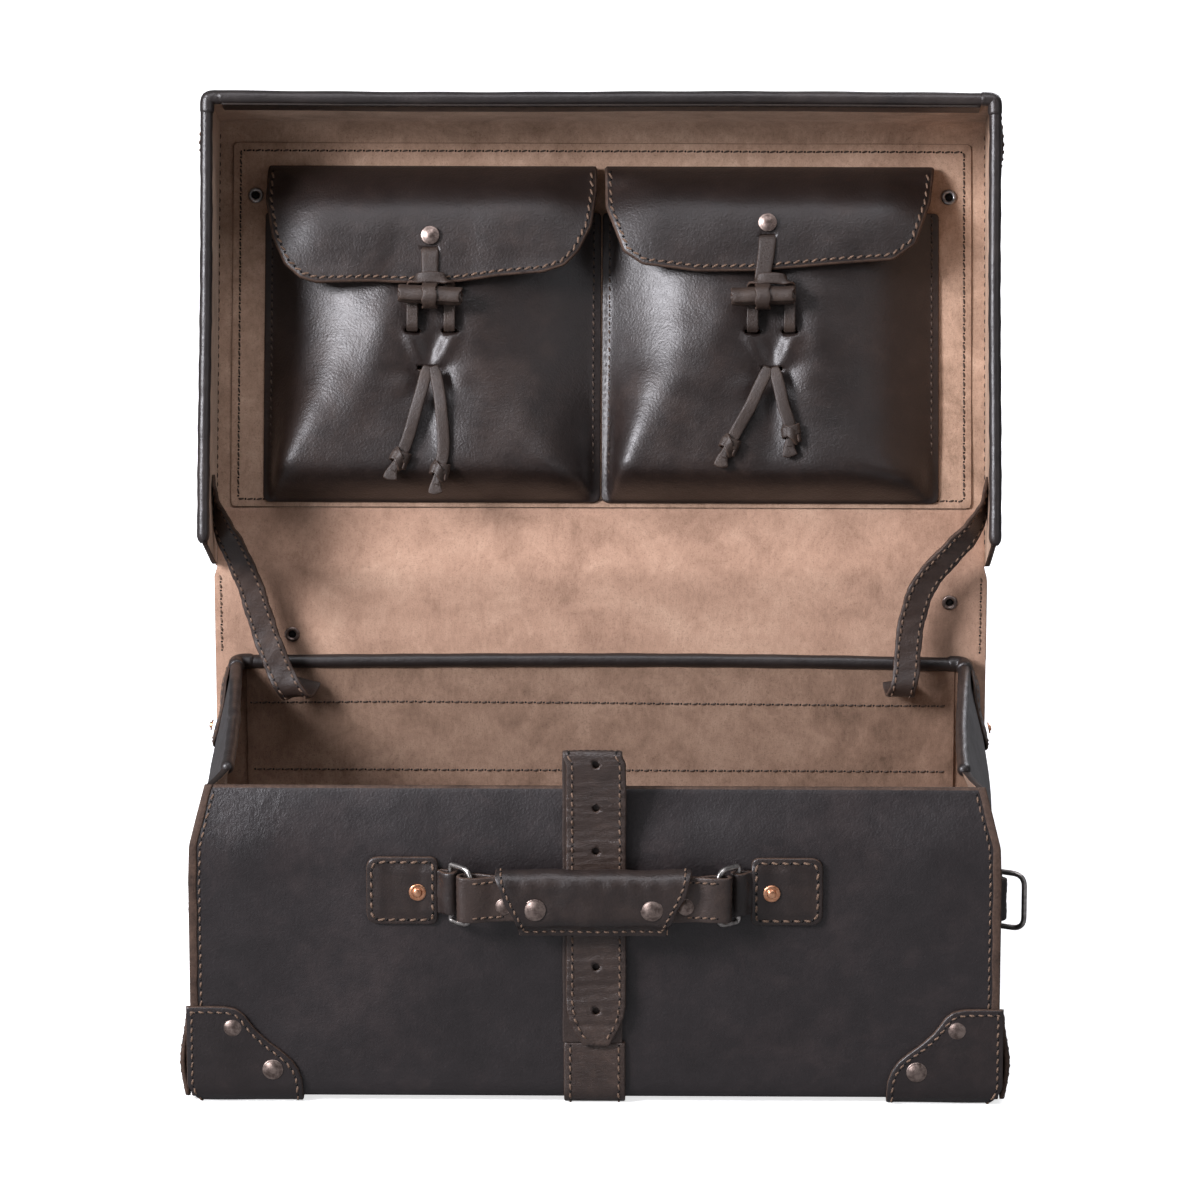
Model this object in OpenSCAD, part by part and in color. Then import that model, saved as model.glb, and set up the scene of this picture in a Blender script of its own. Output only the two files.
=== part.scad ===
// Overnight case in stitched leather, shown open. Millimetres, +Z up, front faces -Y.
// The origin is the centre of the underside, on the surface that the case stands on.

/* [Body] */
// Width of the body over its end panels
body_w = 500; // [440:5:600]
// Depth of the body from its front face to its rear face
body_d = 280; // [250:2:340]
// Height of the rim above the surface
body_h = 205; // [195:1:260]
// Thickness of the front, base and rear wall
wall_t = 5; // [4:0.5:6]
// Thickness of the end panels
end_t = 6; // [4:0.5:8]
// Radius of the folded bottom edges
fold_r = 6; // [5:0.5:12]
// Height of the band above which the front leans back, measured down from the rim
front_band = 40; // [30:1:45]
// How far the front leans back at its top edge
front_lean = 12; // [6:1:16]
// How much lower the front edge is than the rim
front_drop = 2; // [1:0.5:4]
// Height of the band above which the ends lean in, measured down from the rim
end_band = 45; // [40:1:50]
// How far each end leans in at the rim
end_lean = 13.5; // [12:0.5:16]
// Radius of the rolled piping on the end rims
end_pipe_r = 4; // [3.5:0.5:5]
// Radius of the rolled piping on the rear rim
rear_pipe_r = 4.5; // [4:0.5:5]
// Distance from the front edge back to the start of the end piping
pipe_setback = 27; // [20:1:40]
// Thickness of the stiffening board on the floor
board_t = 2.5; // [1.5:0.5:4]
// Thickness of the suede linings
lining_t = 1.5; // [1:0.5:2.5]

/* [Corner caps] */
// Thickness of the corner caps, which are the feet as well
cap_t = 3; // [2:0.5:3]
// Length of a cap's long lobe along the bottom edge
cap_l = 75; // [60:1:90]
// Height of a cap up the corner
cap_h = 62; // [50:1:70]
// Radius of the domed steel rivets on the caps
rivet_r = 6.2; // [5:0.2:7]
// Height of their domes
rivet_h = 2.2; // [1.5:0.1:3]

/* [Belt] */
// Width of the belt
belt_w = 37; // [30:1:42]
// Thickness of the belt
belt_t = 3; // [3:0.25:3]
// Height of the fold at the top of the free belt above the rim
belt_rise = 25; // [20:1:45]
// Height up to which the belt is sewn down
belt_sewn_z = 41; // [30:1:50]
// Radius of the belt holes
hole_r = 2.3; // [1.5:0.1:3]
// Distance between the belt holes
hole_pitch = 26.4; // [24:0.2:27]

/* [Handle] */
// Height of the handle's centre line
handle_z = 139; // [130:1:142]
// Distance from the middle of the case to each handle patch
patch_x = 118.5; // [115:0.5:140]
// Width and height of a ring patch
patch_s = 44; // [40:1:50]
// Thickness of a ring patch
patch_t = 3; // [2:0.5:3.5]
// Distance from the edge of a patch to the bar of its ring
neck_reach = 8; // [7:0.5:14]
// Radius of the leather neck that holds the bar
neck_r = 5; // [4.5:0.25:6]
// Length of the neck along the bar
neck_h = 28.6; // [24:0.2:30]
// Radius of the ring wire
wire_r = 1.5; // [1.25:0.25:1.75]
// Distance from the bar of a ring to its far side
ring_reach = 17; // [16:0.5:18]
// Half of the height of a ring, to the centre of its wire
ring_half = 18; // [17.5:0.5:20]
// Radius of the ring's corners
ring_r = 8; // [6:0.5:9]
// Height of the handle strap
strap_h = 29; // [26:0.5:29]
// Half of the length of the grip sleeve along its top
grip_half = 60; // [50:1:60]
// Half of the length of the grip sleeve along its seam
grip_low_half = 46; // [40:1:50]
// Radius of the grip across its thickness
grip_r = 10; // [9:0.25:10]
// Thickness of the grip sleeve
sleeve_t = 1.8; // [1.2:0.2:2.4]
// Height of the grip between the centres of its two round edges
grip_tall = 17; // [15:0.5:19]
// How far the sleeve's sewn seam hangs below the handle's centre line
seam_low = 23.5; // [22:0.5:25]

/* [End rings] */
// Height of the end rings
end_ring_z = 95; // [80:1:110]
// Place of the end ring bars along the depth
end_ring_y = -17; // [-40:1:20]
// Angle at which the right ring stands forward of square
right_ring_turn = 25; // [0:1:60]
// Angle at which the left ring lies back from square
left_ring_turn = 78; // [60:1:80]

/* [Lid] */
// Angle by which the open lid leans back from upright
lid_lean = 20; // [10:1:25]
// Height of the hinge line above the rim of the body
hinge_rise = 61; // [57:1:95]
// Length of the lid from its hinge line to the outside of its front wall
lid_l = 296; // [292:1:360]
// Depth of the lid's walls above the inside of its panel, to the middle of the piping
lid_depth = 91; // [88:1:92]
// Thickness of the lid's corner caps and of the caps on the hinge flap
thin_cap_t = 2.5; // [1.5:0.25:2.5]
// Length of the long lobe of a lid cap
lid_cap_l = 72; // [60:1:80]
// Height of the tall lobe of a lid cap
lid_cap_h = 62; // [50:1:66]
// Thickness of the lid leather and the hinge flap
lid_t = 3.5; // [3:0.25:4]
// Radius of the bend from the lid's panel to its front wall
lid_bend_r = 18; // [14:1:22]
// Radius of the piping on the lid's rim
lid_pipe_r = 3.5; // [3:0.25:4]
// Clearance between the lid's piping and the ends of the body
lid_gap = 0.5; // [0.4:0.1:2]
// Height above the surface at which the hinge flap's lower edge is sewn
flap_low = 100; // [90:1:120]
// Distance from the outside of the lid's side walls in to the edge of its lining
lining_in = 12; // [12:1:20]
// Distance from the hinge line to the lid lining
lining_low = 41; // [35:1:50]

/* [Pockets] */
// Width of a pocket over its sewn flanges
pocket_w = 218; // [190:1:219]
// Gap between the two pockets
pocket_gap = 2; // [1:0.5:4]
// Distance from the hinge line to the bottom of the pockets
pocket_low = 44; // [42:1:50]
// Distance from the sewn top of a pocket flap down to the mouth of its pocket
mouth_drop = 31; // [27:1:41]
// Depth of a pocket's bulge
pocket_d = 36; // [28:1:40]
// Thickness of the pocket leather
pocket_t = 2.2; // [1.8:0.2:3]
// Width of the sewn flanges
flange_w = 9; // [6:0.5:12]
// Length of a pocket flap from its sewn top to its lower edge
flap_l = 78; // [70:1:86]
// Radius of the rolled leather toggles
toggle_r = 6; // [4:0.5:7]
// Length of the toggles
toggle_l = 40; // [30:1:46]

/* [Hidden] */
$fn = 48;

leather = [0.19, 0.15, 0.15];
brown = [0.28, 0.21, 0.18];
suede = [0.64, 0.53, 0.44];
steel = [0.45, 0.42, 0.40];
copper = [0.80, 0.53, 0.38];

half_w = body_w / 2;
half_d = body_d / 2;
far = 2 * body_w;
fit = 0.1;
pin_gap = 0.3;
front_bend_z = body_h - front_band;
end_bend_z = body_h - end_band;
floor_z = cap_t;
rim_x = half_w - end_lean - end_t / 2;
rear_pipe_y = half_d - rear_pipe_r - fit;
pipe_front_y = -half_d + front_lean + pipe_setback;

belt_top = body_h + belt_rise;

// Hinge line of the lid, in the middle of the flap's thickness
hinge_z = body_h + hinge_rise;
hinge_y = half_d + lid_t / 2;
lid_half_t = lid_t / 2;
ear_t = 1.8;
ear_l = 40;
ear_high = body_h - 2;
ear_low = ear_high - 53;
ear_rivet_drop = 6;

// Where the closed lid's piping ends, and how wide the body and its ears are there
lid_foot_z = hinge_z - lid_depth - lid_pipe_r;
body_half_at_foot = half_w - end_lean * max(0, lid_foot_z - end_bend_z) / end_band;
lid_pipe_in = body_half_at_foot + ear_t + lid_gap;
lid_wall_in = lid_pipe_in + 0.7;
lid_pipe_x = lid_pipe_in + lid_pipe_r;
lid_half_w = lid_wall_in + lid_t;
flap_half_w = half_w + 1.5;

// Ring rivets: the hole through them, their barrel and their rolled ring
barrel_hole = 2;
barrel_r = 3.2;
barrel_ring_r = 5;

// Burr rivets of the ring patches: distance from the outer edge of the patch, washer, shank and head
burr_in = patch_s / 2 - 9.5;
washer_r = 5.3;
shank_r = 3;
burr_r = 2.2;

// Places of the two rivets of a cap on the body, from the outer corner and the surface; of a flap cap,
// from the flap's side edge and the hinge line; and of the lid rivet that shows inside, from side and front
cap_rivet_at = [[0.4 * cap_l, 0.76 * cap_h], [0.73 * cap_l, 0.32 * cap_h]];
hinge_rivet_at = [[24.5, 20], [50.5, 43]];
lid_rivet_in = [27, 51];
hinge_cap_w = 74;
hinge_cap_h = 62;

// The handle hangs clear of the two layers of belt behind it
handle_y = -half_d - 2 * belt_t - 0.5 - grip_r;
bar_x = patch_x - patch_s / 2 - neck_reach;
bar_y = -half_d - neck_r;
ring_turn = asin((bar_y - handle_y) / ring_reach);
strap_half = 2.4;
loop_gap = 3.1;
loop_leather = 2.2;
loop_end = bar_x - 3.8;
loop_c = loop_end - loop_gap - loop_leather;
grip_rivet_x = 0.6 * grip_half;
grip_pin_r = 2;
grip_cap_r = 6.8;

// Levels of the layers that lie on the lid, measured from the middle of its panel, and places along it
lining_w = 2 * (lid_half_w - lining_in);
lining_high = lid_l - lid_bend_r - 2;
flap_top = lining_high - 11;
flap_end = flap_top - flap_l;
lining_top = lid_half_t + lining_t;
pocket_front = lining_top + pocket_d;
pocket_mid = (pocket_w + pocket_gap) / 2;
mouth_s = flap_top - mouth_drop;
flap_t = 2.2;
flap_gap = 0.4;
flap_in = pocket_front + flap_gap;
flap_out = flap_in + flap_t;

// Tabs, thong loops and toggles of the pocket flaps, as places along the lid and above its panel
tab_w = 11.5;
tab_t = 2.2;
tab_top_s = flap_end + 45;
flap_rivet_r = 5.8;
loop_x = 12;
loop_w = 7.5;
loop_t = 2;
slit_s = flap_end - 34;
toggle_s = flap_end - 13;
toggle_w = pocket_front + loop_t + flap_gap + toggle_r;

// Buckle on the outside of the lid, and the strap that holds it
buckle_w = belt_w + 4;
buckle_s = lid_l - 66;
buckle_reach = 30;
lid_belt_t = 2.5;

// Routes of the two stay straps: in from the end, back from the rear face, up from the hinge line
stay_w = 18;
stay_t = 2.4;
stay_left_route = [
    [2, -38, 70], [3.5, -34, 54], [7, -28, 37], [14, -22, 18], [22, -19, -2], [28, -18, -22],
    [34, -20, -41], [41, -24, -58], [47, -28, -70], [53, -25, -77], [57, -17, -76], [60, -9, -72]];
stay_right_route = [
    [2, -38, 70], [3.5, -34, 56], [8, -28, 41], [17, -23, 26], [30, -20, 11], [41, -18, -5],
    [47, -18, -23], [50, -20, -41], [51, -24, -57], [53, -27, -69], [55, -23, -76], [57, -15, -75],
    [58, -9, -71]];

// Routes of the four thong ends: x, distance from the hinge line, height above the lid panel
thong_w = 8;
thong_t = 2.6;
thong_left_a_path = [[-114.3, 128, 41], [-115, 122, 41.1], [-116, 115, 41.4], [-118, 106, 41.5],
    [-120, 96, 41.6], [-123, 86, 41.7], [-126, 77, 41.8], [-130, 68, 42], [-134, 61, 42]];
thong_left_b_path = [[-105.6, 128, 41], [-105, 122, 41.2], [-104, 114, 41.6], [-103, 104, 41.8],
    [-102, 94, 41.8], [-101, 84, 41.8], [-101, 74, 42], [-103, 64, 42], [-106, 52, 42]];
thong_right_a_path = [[105.6, 128, 41], [104, 122, 41.1], [101, 114, 41.4], [97, 104, 41.6],
    [92, 95, 41.7], [87, 86, 41.8], [83, 78, 42], [79, 70, 42]];
thong_right_b_path = [[114.4, 128, 41], [115, 122, 41.2], [116, 114, 41.6], [118, 104, 41.8],
    [121, 95, 42], [123, 86, 42], [122, 77, 42]];

function unit(v) = v / norm(v);

// Sweeps a flat band of eight sides along a route; its width turns from one direction to another
module band(path, width, thick, wide_from, wide_to, turn_over = 1) {
    n = len(path);
    sides = 8;
    rings = [for (i = [0 : n - 1])
        let (t = unit(path[min(i + 1, n - 1)] - path[max(i - 1, 0)]),
             k = max(0, min(1, (i - 1) / turn_over)),
             d = wide_from * (1 - k) + wide_to * k,
             w = unit(d - t * (d * t)),
             u = cross(t, w))
        for (k = [0 : sides - 1])
            let (a = 360 * (k + 0.5) / sides, c = cos(a) / cos(22.5), s = sin(a) / cos(22.5))
            path[i] + w * (c * width / 2) + u * (s * thick / 2)];
    walls = [for (i = [0 : n - 2]) for (k = [0 : sides - 1]) for (upper = [false, true])
        let (a = i * sides + k, b = i * sides + (k + 1) % sides)
        upper ? [a, b + sides, a + sides] : [a, b, b + sides]];
    start = [[for (k = [sides - 1 : -1 : 0]) k]];
    finish = [[for (k = [0 : sides - 1]) (n - 1) * sides + k]];
    polyhedron(rings, concat(start, walls, finish), convexity = 4);
}

// Extrudes an outline of depth and height along the width
module across(length) {
    rotate([90, 0, 90]) linear_extrude(length, center = true) children();
}

// Extrudes an outline of width and height along the depth
module along(length) {
    rotate([90, 0, 0]) linear_extrude(length, center = true) children();
}

// Keeps the left half, or the right half, of its children
module side_of(right) {
    intersection() {
        children();
        translate([right ? 0 : -far, -far, -far]) cube([far, 2 * far, 2 * far]);
    }
}

module rounded_square(w, h, r) {
    square([w - 2 * r, h], center = true);
    square([w, h - 2 * r], center = true);
    for (x = [-1, 1]) for (y = [-1, 1])
        translate([x * (w / 2 - r), y * (h / 2 - r)]) circle(r);
}

// Outline of the body from the side, grown by g; open_top carries the walls straight up past the rim
module side_outline(g = 0, open_top = 0) {
    f = -half_d - g;
    r = half_d + g;
    low = floor_z - g;
    c = max(fold_r + g, 0.6);
    top = open_top > 0
        ? [[r, body_h + open_top], [f + front_lean, body_h + open_top]]
        : [[r, body_h], [f + front_lean + pipe_setback, body_h]];
    polygon(concat([[f, low + c], [f + c, low], [r - c, low], [r, low + c]], top,
        [[f + front_lean, body_h - front_drop], [f, front_bend_z]]));
    for (y = [f + c, r - c]) translate([y, low + c]) circle(c);
}

// Outline of the body from the front, grown by g to each side
module end_outline(g = 0, low = -20, c = 1) {
    h = half_w + g;
    t = h - end_lean;
    polygon([[-h + c, low], [h - c, low], [h, low + c], [h, end_bend_z], [t, body_h], [t, body_h + 20],
        [-t, body_h + 20], [-t, body_h], [-h, end_bend_z], [-h, low + c]]);
    for (x = [-1, 1]) translate([x * (h - c), low + c]) circle(c);
}

module body_block(g = 0) {
    intersection() {
        across(far) side_outline(g);
        along(far) end_outline(g, floor_z - g, fold_r + g);
    }
}

module inside_block() {
    intersection() {
        across(far) side_outline(-wall_t, 20);
        along(far) end_outline(-end_t);
    }
}

module body_wrap() {
    color(leather) difference() {
        intersection() {
            across(far) side_outline();
            along(far) end_outline(-end_t);
        }
        across(far) side_outline(-wall_t, 20);
    }
}

module end_panel(right) {
    color(leather) side_of(right) difference() {
        body_block();
        along(far) end_outline(-end_t);
    }
}

module rear_lining() {
    low = floor_z + wall_t + board_t;
    high = body_h + 1 - rear_pipe_r - 0.5;
    color(suede) translate([0, half_d - wall_t - lining_t / 2, 0]) along(lining_t) intersection() {
        end_outline(-end_t - 0.5, low, 2);
        translate([-half_w, low]) square([body_w, high - low]);
    }
}

module base_board() {
    gap = 1;
    x = half_w - end_t - gap;
    y = half_d - wall_t - gap;
    color(suede) translate([-x, -y, floor_z + wall_t]) cube([2 * x, 2 * y, board_t]);
}

// Rolled piping on the ends and the rear of the rim, fitted over the walls
module body_piping() {
    end_l = rear_pipe_y - pipe_front_y;
    color(leather) difference() {
        union() {
            for (x = [-rim_x, rim_x]) {
                translate([x, pipe_front_y, body_h]) rotate([-90, 0, 0]) cylinder(h = end_l, r = end_pipe_r);
                translate([x, rear_pipe_y, body_h + 0.5]) sphere(rear_pipe_r);
            }
            translate([0, rear_pipe_y, body_h + 1]) rotate([0, 90, 0])
                cylinder(h = 2 * rim_x, r = rear_pipe_r, center = true);
        }
        difference() {
            body_block();
            inside_block();
        }
    }
}

// Outline of a corner cap: a tall lobe by the corner and a long low one, joined by a hollow curve
module cap_outline(l = cap_l, h = cap_h) {
    tall = 0.61 * l;
    low = 0.5 * h;
    r1 = 10;
    r2 = 16;
    r3 = 9;
    square([tall - r1, h]);
    square([tall, h - r1]);
    translate([tall - r1, h - r1]) circle(r1);
    square([l - r2, low]);
    square([l, low - r2 + 1]);
    translate([l - r2, low - r2 + 0.5]) circle(r2);
    difference() {
        translate([tall - 1, low - 1]) square([r3 + 1, r3 + 1]);
        translate([tall + r3, low + r3]) circle(r3);
    }
}

module cap_shell(sx, sy) {
    reach = [sx * (half_w + cap_t), sy * (half_d + cap_t)];
    intersection() {
        difference() {
            body_block(cap_t);
            body_block(0);
        }
        union() {
            translate([reach[0], sy * half_d, 0]) mirror([sx > 0 ? 1 : 0, 0, 0]) along(16) cap_outline();
            translate([sx * half_w, reach[1], 0]) mirror([0, sy > 0 ? 1 : 0, 0]) across(16) cap_outline();
            translate([reach[0], reach[1], -1]) mirror([sx > 0 ? 1 : 0, 0, 0]) mirror([0, sy > 0 ? 1 : 0, 0])
                linear_extrude(fold_r) {
                    square([cap_l - 20, cap_l]);
                    square([cap_l, cap_l - 20]);
                    translate([cap_l - 20, cap_l - 20]) circle(20);
                }
        }
    }
}

module corner_cap(sx, sy) {
    color(leather) cap_shell(sx, sy);
}

// Low dome with its flat side down
module dome(r, h) {
    ball = (r * r + h * h) / (2 * h);
    intersection() {
        translate([0, 0, h - ball]) sphere(ball);
        cylinder(h = h, r = r);
    }
}

// Domed rivets of the body's caps, and the rivets of the flap's caps with their rings inside the flap
module corner_rivets() {
    color(steel) {
        for (sx = [-1, 1]) for (sy = [-1, 1]) for (p = cap_rivet_at) {
            translate([sx * (half_w + cap_t - p[0]), sy * (half_d + cap_t), p[1]])
                rotate([sy < 0 ? 90 : -90, 0, 0]) dome(rivet_r, rivet_h);
            translate([sx * (half_w + cap_t), sy * (half_d + cap_t - p[0]), p[1]])
                rotate([0, sx * 90, 0]) dome(rivet_r, rivet_h);
        }
        for (m = [0, 1]) mirror([m, 0, 0]) for (p = hinge_rivet_at)
            translate([-flap_half_w + p[0], half_d + lid_t, hinge_z - p[1]]) rotate([90, 0, 0]) {
                ring_rivet(lid_t);
                rotate([180, 0, 0]) translate([0, 0, thin_cap_t]) dome(rivet_r, rivet_h);
            }
    }
}

// Patch with a neck that folds round the bar of a ring; it lies on the plane y = 0 and faces -Y
module ring_patch() {
    bar = [patch_s / 2 + neck_reach, -neck_r, 0];
    color(leather) difference() {
        union() {
            rotate([90, 0, 0]) linear_extrude(patch_t) rounded_square(patch_s, patch_s - 0.5, 8);
            translate([patch_s / 2 - 6, -neck_r, -neck_h / 2]) cube([neck_reach + 6, neck_r, neck_h]);
            translate(bar) cylinder(h = neck_h, r = neck_r, center = true);
        }
        translate(bar) cylinder(h = neck_h + 2, r = wire_r + pin_gap, center = true);
    }
}

// The right-hand one is the mirror image
module handle_patch(right) {
    mirror([right ? 1 : 0, 0, 0]) translate([-patch_x, -half_d, handle_z]) ring_patch();
}

module end_patch(right) {
    y = end_ring_y + patch_s / 2 + neck_reach;
    mirror([right ? 1 : 0, 0, 0]) translate([-half_w, y, end_ring_z]) rotate([0, 0, -90]) ring_patch();
}

// Copper rivet hammered over a washer
module burr_rivet() {
    washer_t = 1;
    shank_h = 1.6;
    cylinder(h = washer_t, r = washer_r);
    cylinder(h = shank_h, r = shank_r);
    translate([0, 0, shank_h]) dome(burr_r, burr_r * 0.36);
}

// Burr rivets of the four ring patches, and a smaller one on each ear
module copper_rivets() {
    to_middle = patch_s / 2 - burr_in;
    end_patch_y = end_ring_y + patch_s / 2 + neck_reach;
    color(copper) for (right = [0, 1]) mirror([right, 0, 0]) {
        translate([-patch_x + to_middle, -half_d - patch_t, handle_z]) rotate([90, 0, 0]) burr_rivet();
        translate([-half_w - patch_t, end_patch_y - to_middle, end_ring_z])
            rotate([0, -90, 0]) burr_rivet();
        translate([-half_w - ear_t, half_d - ear_l / 2, end_bend_z - ear_rivet_drop])
            rotate([0, -90, 0]) scale(0.7) burr_rivet();
    }
}

// Belt sewn round the front foot, the underside and the rear, and on over the hinge flap
module belt_sewn() {
    w = belt_w + 1;
    y = half_d + lid_t;
    step_z = flap_low - 6;
    top_z = hinge_z - 7;
    color(brown) union() {
        intersection() {
            difference() {
                across(w) side_outline(belt_t);
                across(far) side_outline(0);
            }
            union() {
                translate([-w, -half_d - 20, -1]) cube([2 * w, half_d + 20, belt_sewn_z + 1]);
                translate([-w, 0, -1]) cube([2 * w, half_d + 20, flap_low - 1]);
            }
        }
        translate([-w / 2, half_d, step_z]) cube([w, lid_t + belt_t, flap_low - 0.5 - step_z]);
        translate([-w / 2, y, step_z]) cube([w, belt_t, top_z - step_z]);
    }
}

// Free belt: up behind the handle, folded over, and down again in front with its holes and its tip
module belt_free() {
    tip_z = belt_sewn_z - 1;
    taper = 26;
    tip_half = 9;
    fold_z = belt_top - belt_t;
    h = belt_w / 2;
    color(brown) union() {
        translate([-h - 0.5, -half_d - belt_t, belt_sewn_z]) cube([belt_w + 1, belt_t, fold_z - belt_sewn_z]);
        intersection() {
            translate([0, -half_d - belt_t, fold_z]) rotate([0, 90, 0])
                cylinder(h = belt_w, r = belt_t, center = true);
            translate([-h, -half_d - 3 * belt_t, fold_z]) cube([belt_w, 6 * belt_t, 3 * belt_t]);
        }
        translate([0, -half_d - 1.5 * belt_t, 0]) difference() {
            along(belt_t) {
                polygon([[-tip_half, tip_z + 3], [-tip_half + 3, tip_z],
                    [tip_half - 3, tip_z], [tip_half, tip_z + 3],
                    [h, tip_z + taper], [h, fold_z], [-h, fold_z], [-h, tip_z + taper]]);
            }
            for (i = [0 : 5]) translate([0, 0, tip_z + taper + 1 + i * hole_pitch])
                rotate([90, 0, 0]) cylinder(h = 2 * belt_t, r = hole_r, center = true);
        }
    }
}

module hinge_flap() {
    color(suede) difference() {
        across(2 * flap_half_w) {
            translate([half_d, flap_low]) square([lid_t, hinge_z - flap_low]);
            translate([hinge_y, hinge_z]) circle(lid_half_t);
        }
        for (m = [0, 1]) mirror([m, 0, 0]) for (p = hinge_rivet_at)
            translate([-flap_half_w + p[0], hinge_y, hinge_z - p[1]])
                rotate([90, 0, 0]) cylinder(h = 4 * lid_t, r = barrel_r, center = true);
    }
}

// Cap on the rear face of the flap, below the hinge line
module hinge_cap(right) {
    x = -flap_half_w + hinge_cap_w / 2;
    y = half_d + lid_t + thin_cap_t / 2;
    z = hinge_z - lid_half_t - hinge_cap_h / 2;
    color(leather) mirror([right ? 1 : 0, 0, 0]) translate([x, y, z]) along(thin_cap_t) difference() {
        rounded_square(hinge_cap_w, hinge_cap_h, 6);
        translate([hinge_cap_w / 2, -hinge_cap_h / 2]) rotate(45)
            square(0.3 * hinge_cap_w, center = true);
    }
}

// Tab that wraps from the flap round the rear corner and lies on the end panel
module hinge_ear(right) {
    color(leather) side_of(right) intersection() {
        difference() {
            along(far) end_outline(ear_t);
            along(far) end_outline(0);
        }
        across(far) translate([half_d - ear_l / 2, (ear_low + ear_high) / 2]) {
            rounded_square(ear_l, ear_high - ear_low, 9);
            translate([0, (ear_low - ear_high) / 2]) square([ear_l / 2, ear_high - ear_low]);
        }
    }
}

// Barrel of a rivet through a sheet of thickness t, with its rolled ring on the far side at +Z
module ring_rivet(t) {
    difference() {
        union() {
            cylinder(h = t, r = barrel_r);
            translate([0, 0, t]) cylinder(h = 1, r = barrel_ring_r);
        }
        translate([0, 0, 1]) cylinder(h = t + 1, r = barrel_hole);
    }
}

// Stay strap from the lid's side wall to the body; it starts flat on the wall and turns to face the front
module stay(route, side) {
    turn_points = 4;
    slant = 0.1;
    path = [for (p = route) [side * (half_w - p[0]), half_d + p[1], hinge_z + p[2]]];
    color(brown) band(path, stay_w, stay_t, [0, side, 0], [1, -slant * side, 0], turn_points);
}

// D-ring with its bar on the Z axis and its far side towards +X
module d_ring() {
    color(steel) {
        cylinder(h = 2 * ring_half, r = wire_r, center = true);
        translate([ring_reach, 0, 0]) cylinder(h = 2 * (ring_half - ring_r), r = wire_r, center = true);
        for (m = [0, 1]) mirror([0, 0, m]) {
            translate([0, 0, ring_half]) sphere(wire_r);
            translate([0, 0, ring_half]) rotate([0, 90, 0]) cylinder(h = ring_reach - ring_r, r = wire_r);
            translate([ring_reach - ring_r, 0, ring_half - ring_r]) rotate([90, 0, 0])
                rotate_extrude(angle = 90) translate([ring_r, 0]) circle(wire_r);
        }
    }
}

module handle_ring(right) {
    mirror([right ? 1 : 0, 0, 0]) translate([-bar_x, bar_y, handle_z]) rotate([0, 0, -ring_turn]) d_ring();
}

module end_ring(right, turn) {
    mirror([right ? 0 : 1, 0, 0]) translate([half_w + neck_r, end_ring_y, end_ring_z])
        rotate([0, 0, turn]) d_ring();
}

module grip_rivet_holes(r = grip_pin_r + fit) {
    for (x = [-grip_rivet_x, grip_rivet_x]) translate([x, handle_y, handle_z])
        rotate([90, 0, 0]) cylinder(h = 3 * grip_r, r = r, center = true);
}

// Part of a strap loop that narrows from half width r at its ring to half width end_r at x = -end_x
module loop_side(r, end_x, end_r) {
    straight = 8;
    polygon([[-loop_c, -r], [-loop_c + straight, -r], [-end_x, -end_r], [-end_x, end_r],
        [-loop_c + straight, r], [-loop_c, r]]);
}

// Strap through the grip, with a loop round a ring at each end
module handle_strap() {
    sewn_l = 3;
    color(brown) difference() {
        translate([0, handle_y, handle_z]) linear_extrude(strap_h, center = true) difference() {
            union() {
                square([2 * grip_half, 2 * strap_half], center = true);
                for (m = [0, 1]) mirror([m, 0]) {
                    translate([-loop_c, 0]) circle(loop_gap + loop_leather);
                    loop_side(loop_gap + loop_leather, grip_half, strap_half);
                }
            }
            for (m = [0, 1]) mirror([m, 0]) {
                translate([-loop_c, 0]) circle(loop_gap);
                loop_side(loop_gap, grip_half + sewn_l, fit * 2);
            }
        }
        grip_rivet_holes();
    }
}

// Upright stadium outline of the grip
module grip_outline(r) {
    for (z = [-grip_tall / 2, grip_tall / 2]) translate([0, z]) circle(r);
    translate([-r, -grip_tall / 2]) square([2 * r, grip_tall]);
}

// Outline of the grip from the front: its ends slope in from the top to the seam
module grip_ends() {
    top = grip_tall / 2 + 2 * grip_r;
    slope_top = strap_h / 2;
    low = -seam_low - fit;
    translate([0, handle_y, handle_z]) along(far)
        polygon([[-grip_half, top], [-grip_half, slope_top], [-grip_low_half, low],
            [grip_low_half, low], [grip_half, slope_top], [grip_half, top]]);
}

module grip_core() {
    color(brown) intersection() {
        difference() {
            translate([0, handle_y, handle_z]) across(far) grip_outline(grip_r - sleeve_t);
            translate([-far / 2, handle_y - strap_half, handle_z - strap_h / 2])
                cube([far, 2 * strap_half, strap_h]);
            grip_rivet_holes();
        }
        grip_ends();
    }
}

// Sleeve wrapped round the grip, its two edges sewn together below
module grip_sleeve() {
    color(leather) intersection() {
        difference() {
            translate([0, handle_y, handle_z]) across(far) {
                grip_outline(grip_r);
                translate([-sleeve_t, -seam_low]) square([2 * sleeve_t, grip_r]);
            }
            translate([0, handle_y, handle_z]) across(2 * far) grip_outline(grip_r - sleeve_t);
            grip_rivet_holes();
        }
        grip_ends();
    }
}

// Rivets through the grip, domed in front and flat behind
module grip_rivets() {
    color(steel) for (x = [-grip_rivet_x, grip_rivet_x]) translate([x, handle_y, handle_z]) {
        rotate([90, 0, 0]) cylinder(h = 2 * grip_r, r = grip_pin_r, center = true);
        translate([0, -grip_r, 0]) rotate([90, 0, 0]) dome(grip_cap_r, rivet_h);
        translate([0, grip_r, 0]) rotate([-90, 0, 0]) dome(grip_cap_r * 0.66, rivet_h * 0.36);
    }
}

// Frame of the open lid: X across, Y from the hinge line to the front wall, Z up from its panel
module lid_frame() {
    translate([0, hinge_y, hinge_z]) rotate([90 - lid_lean, 0, 0]) children();
}

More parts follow.
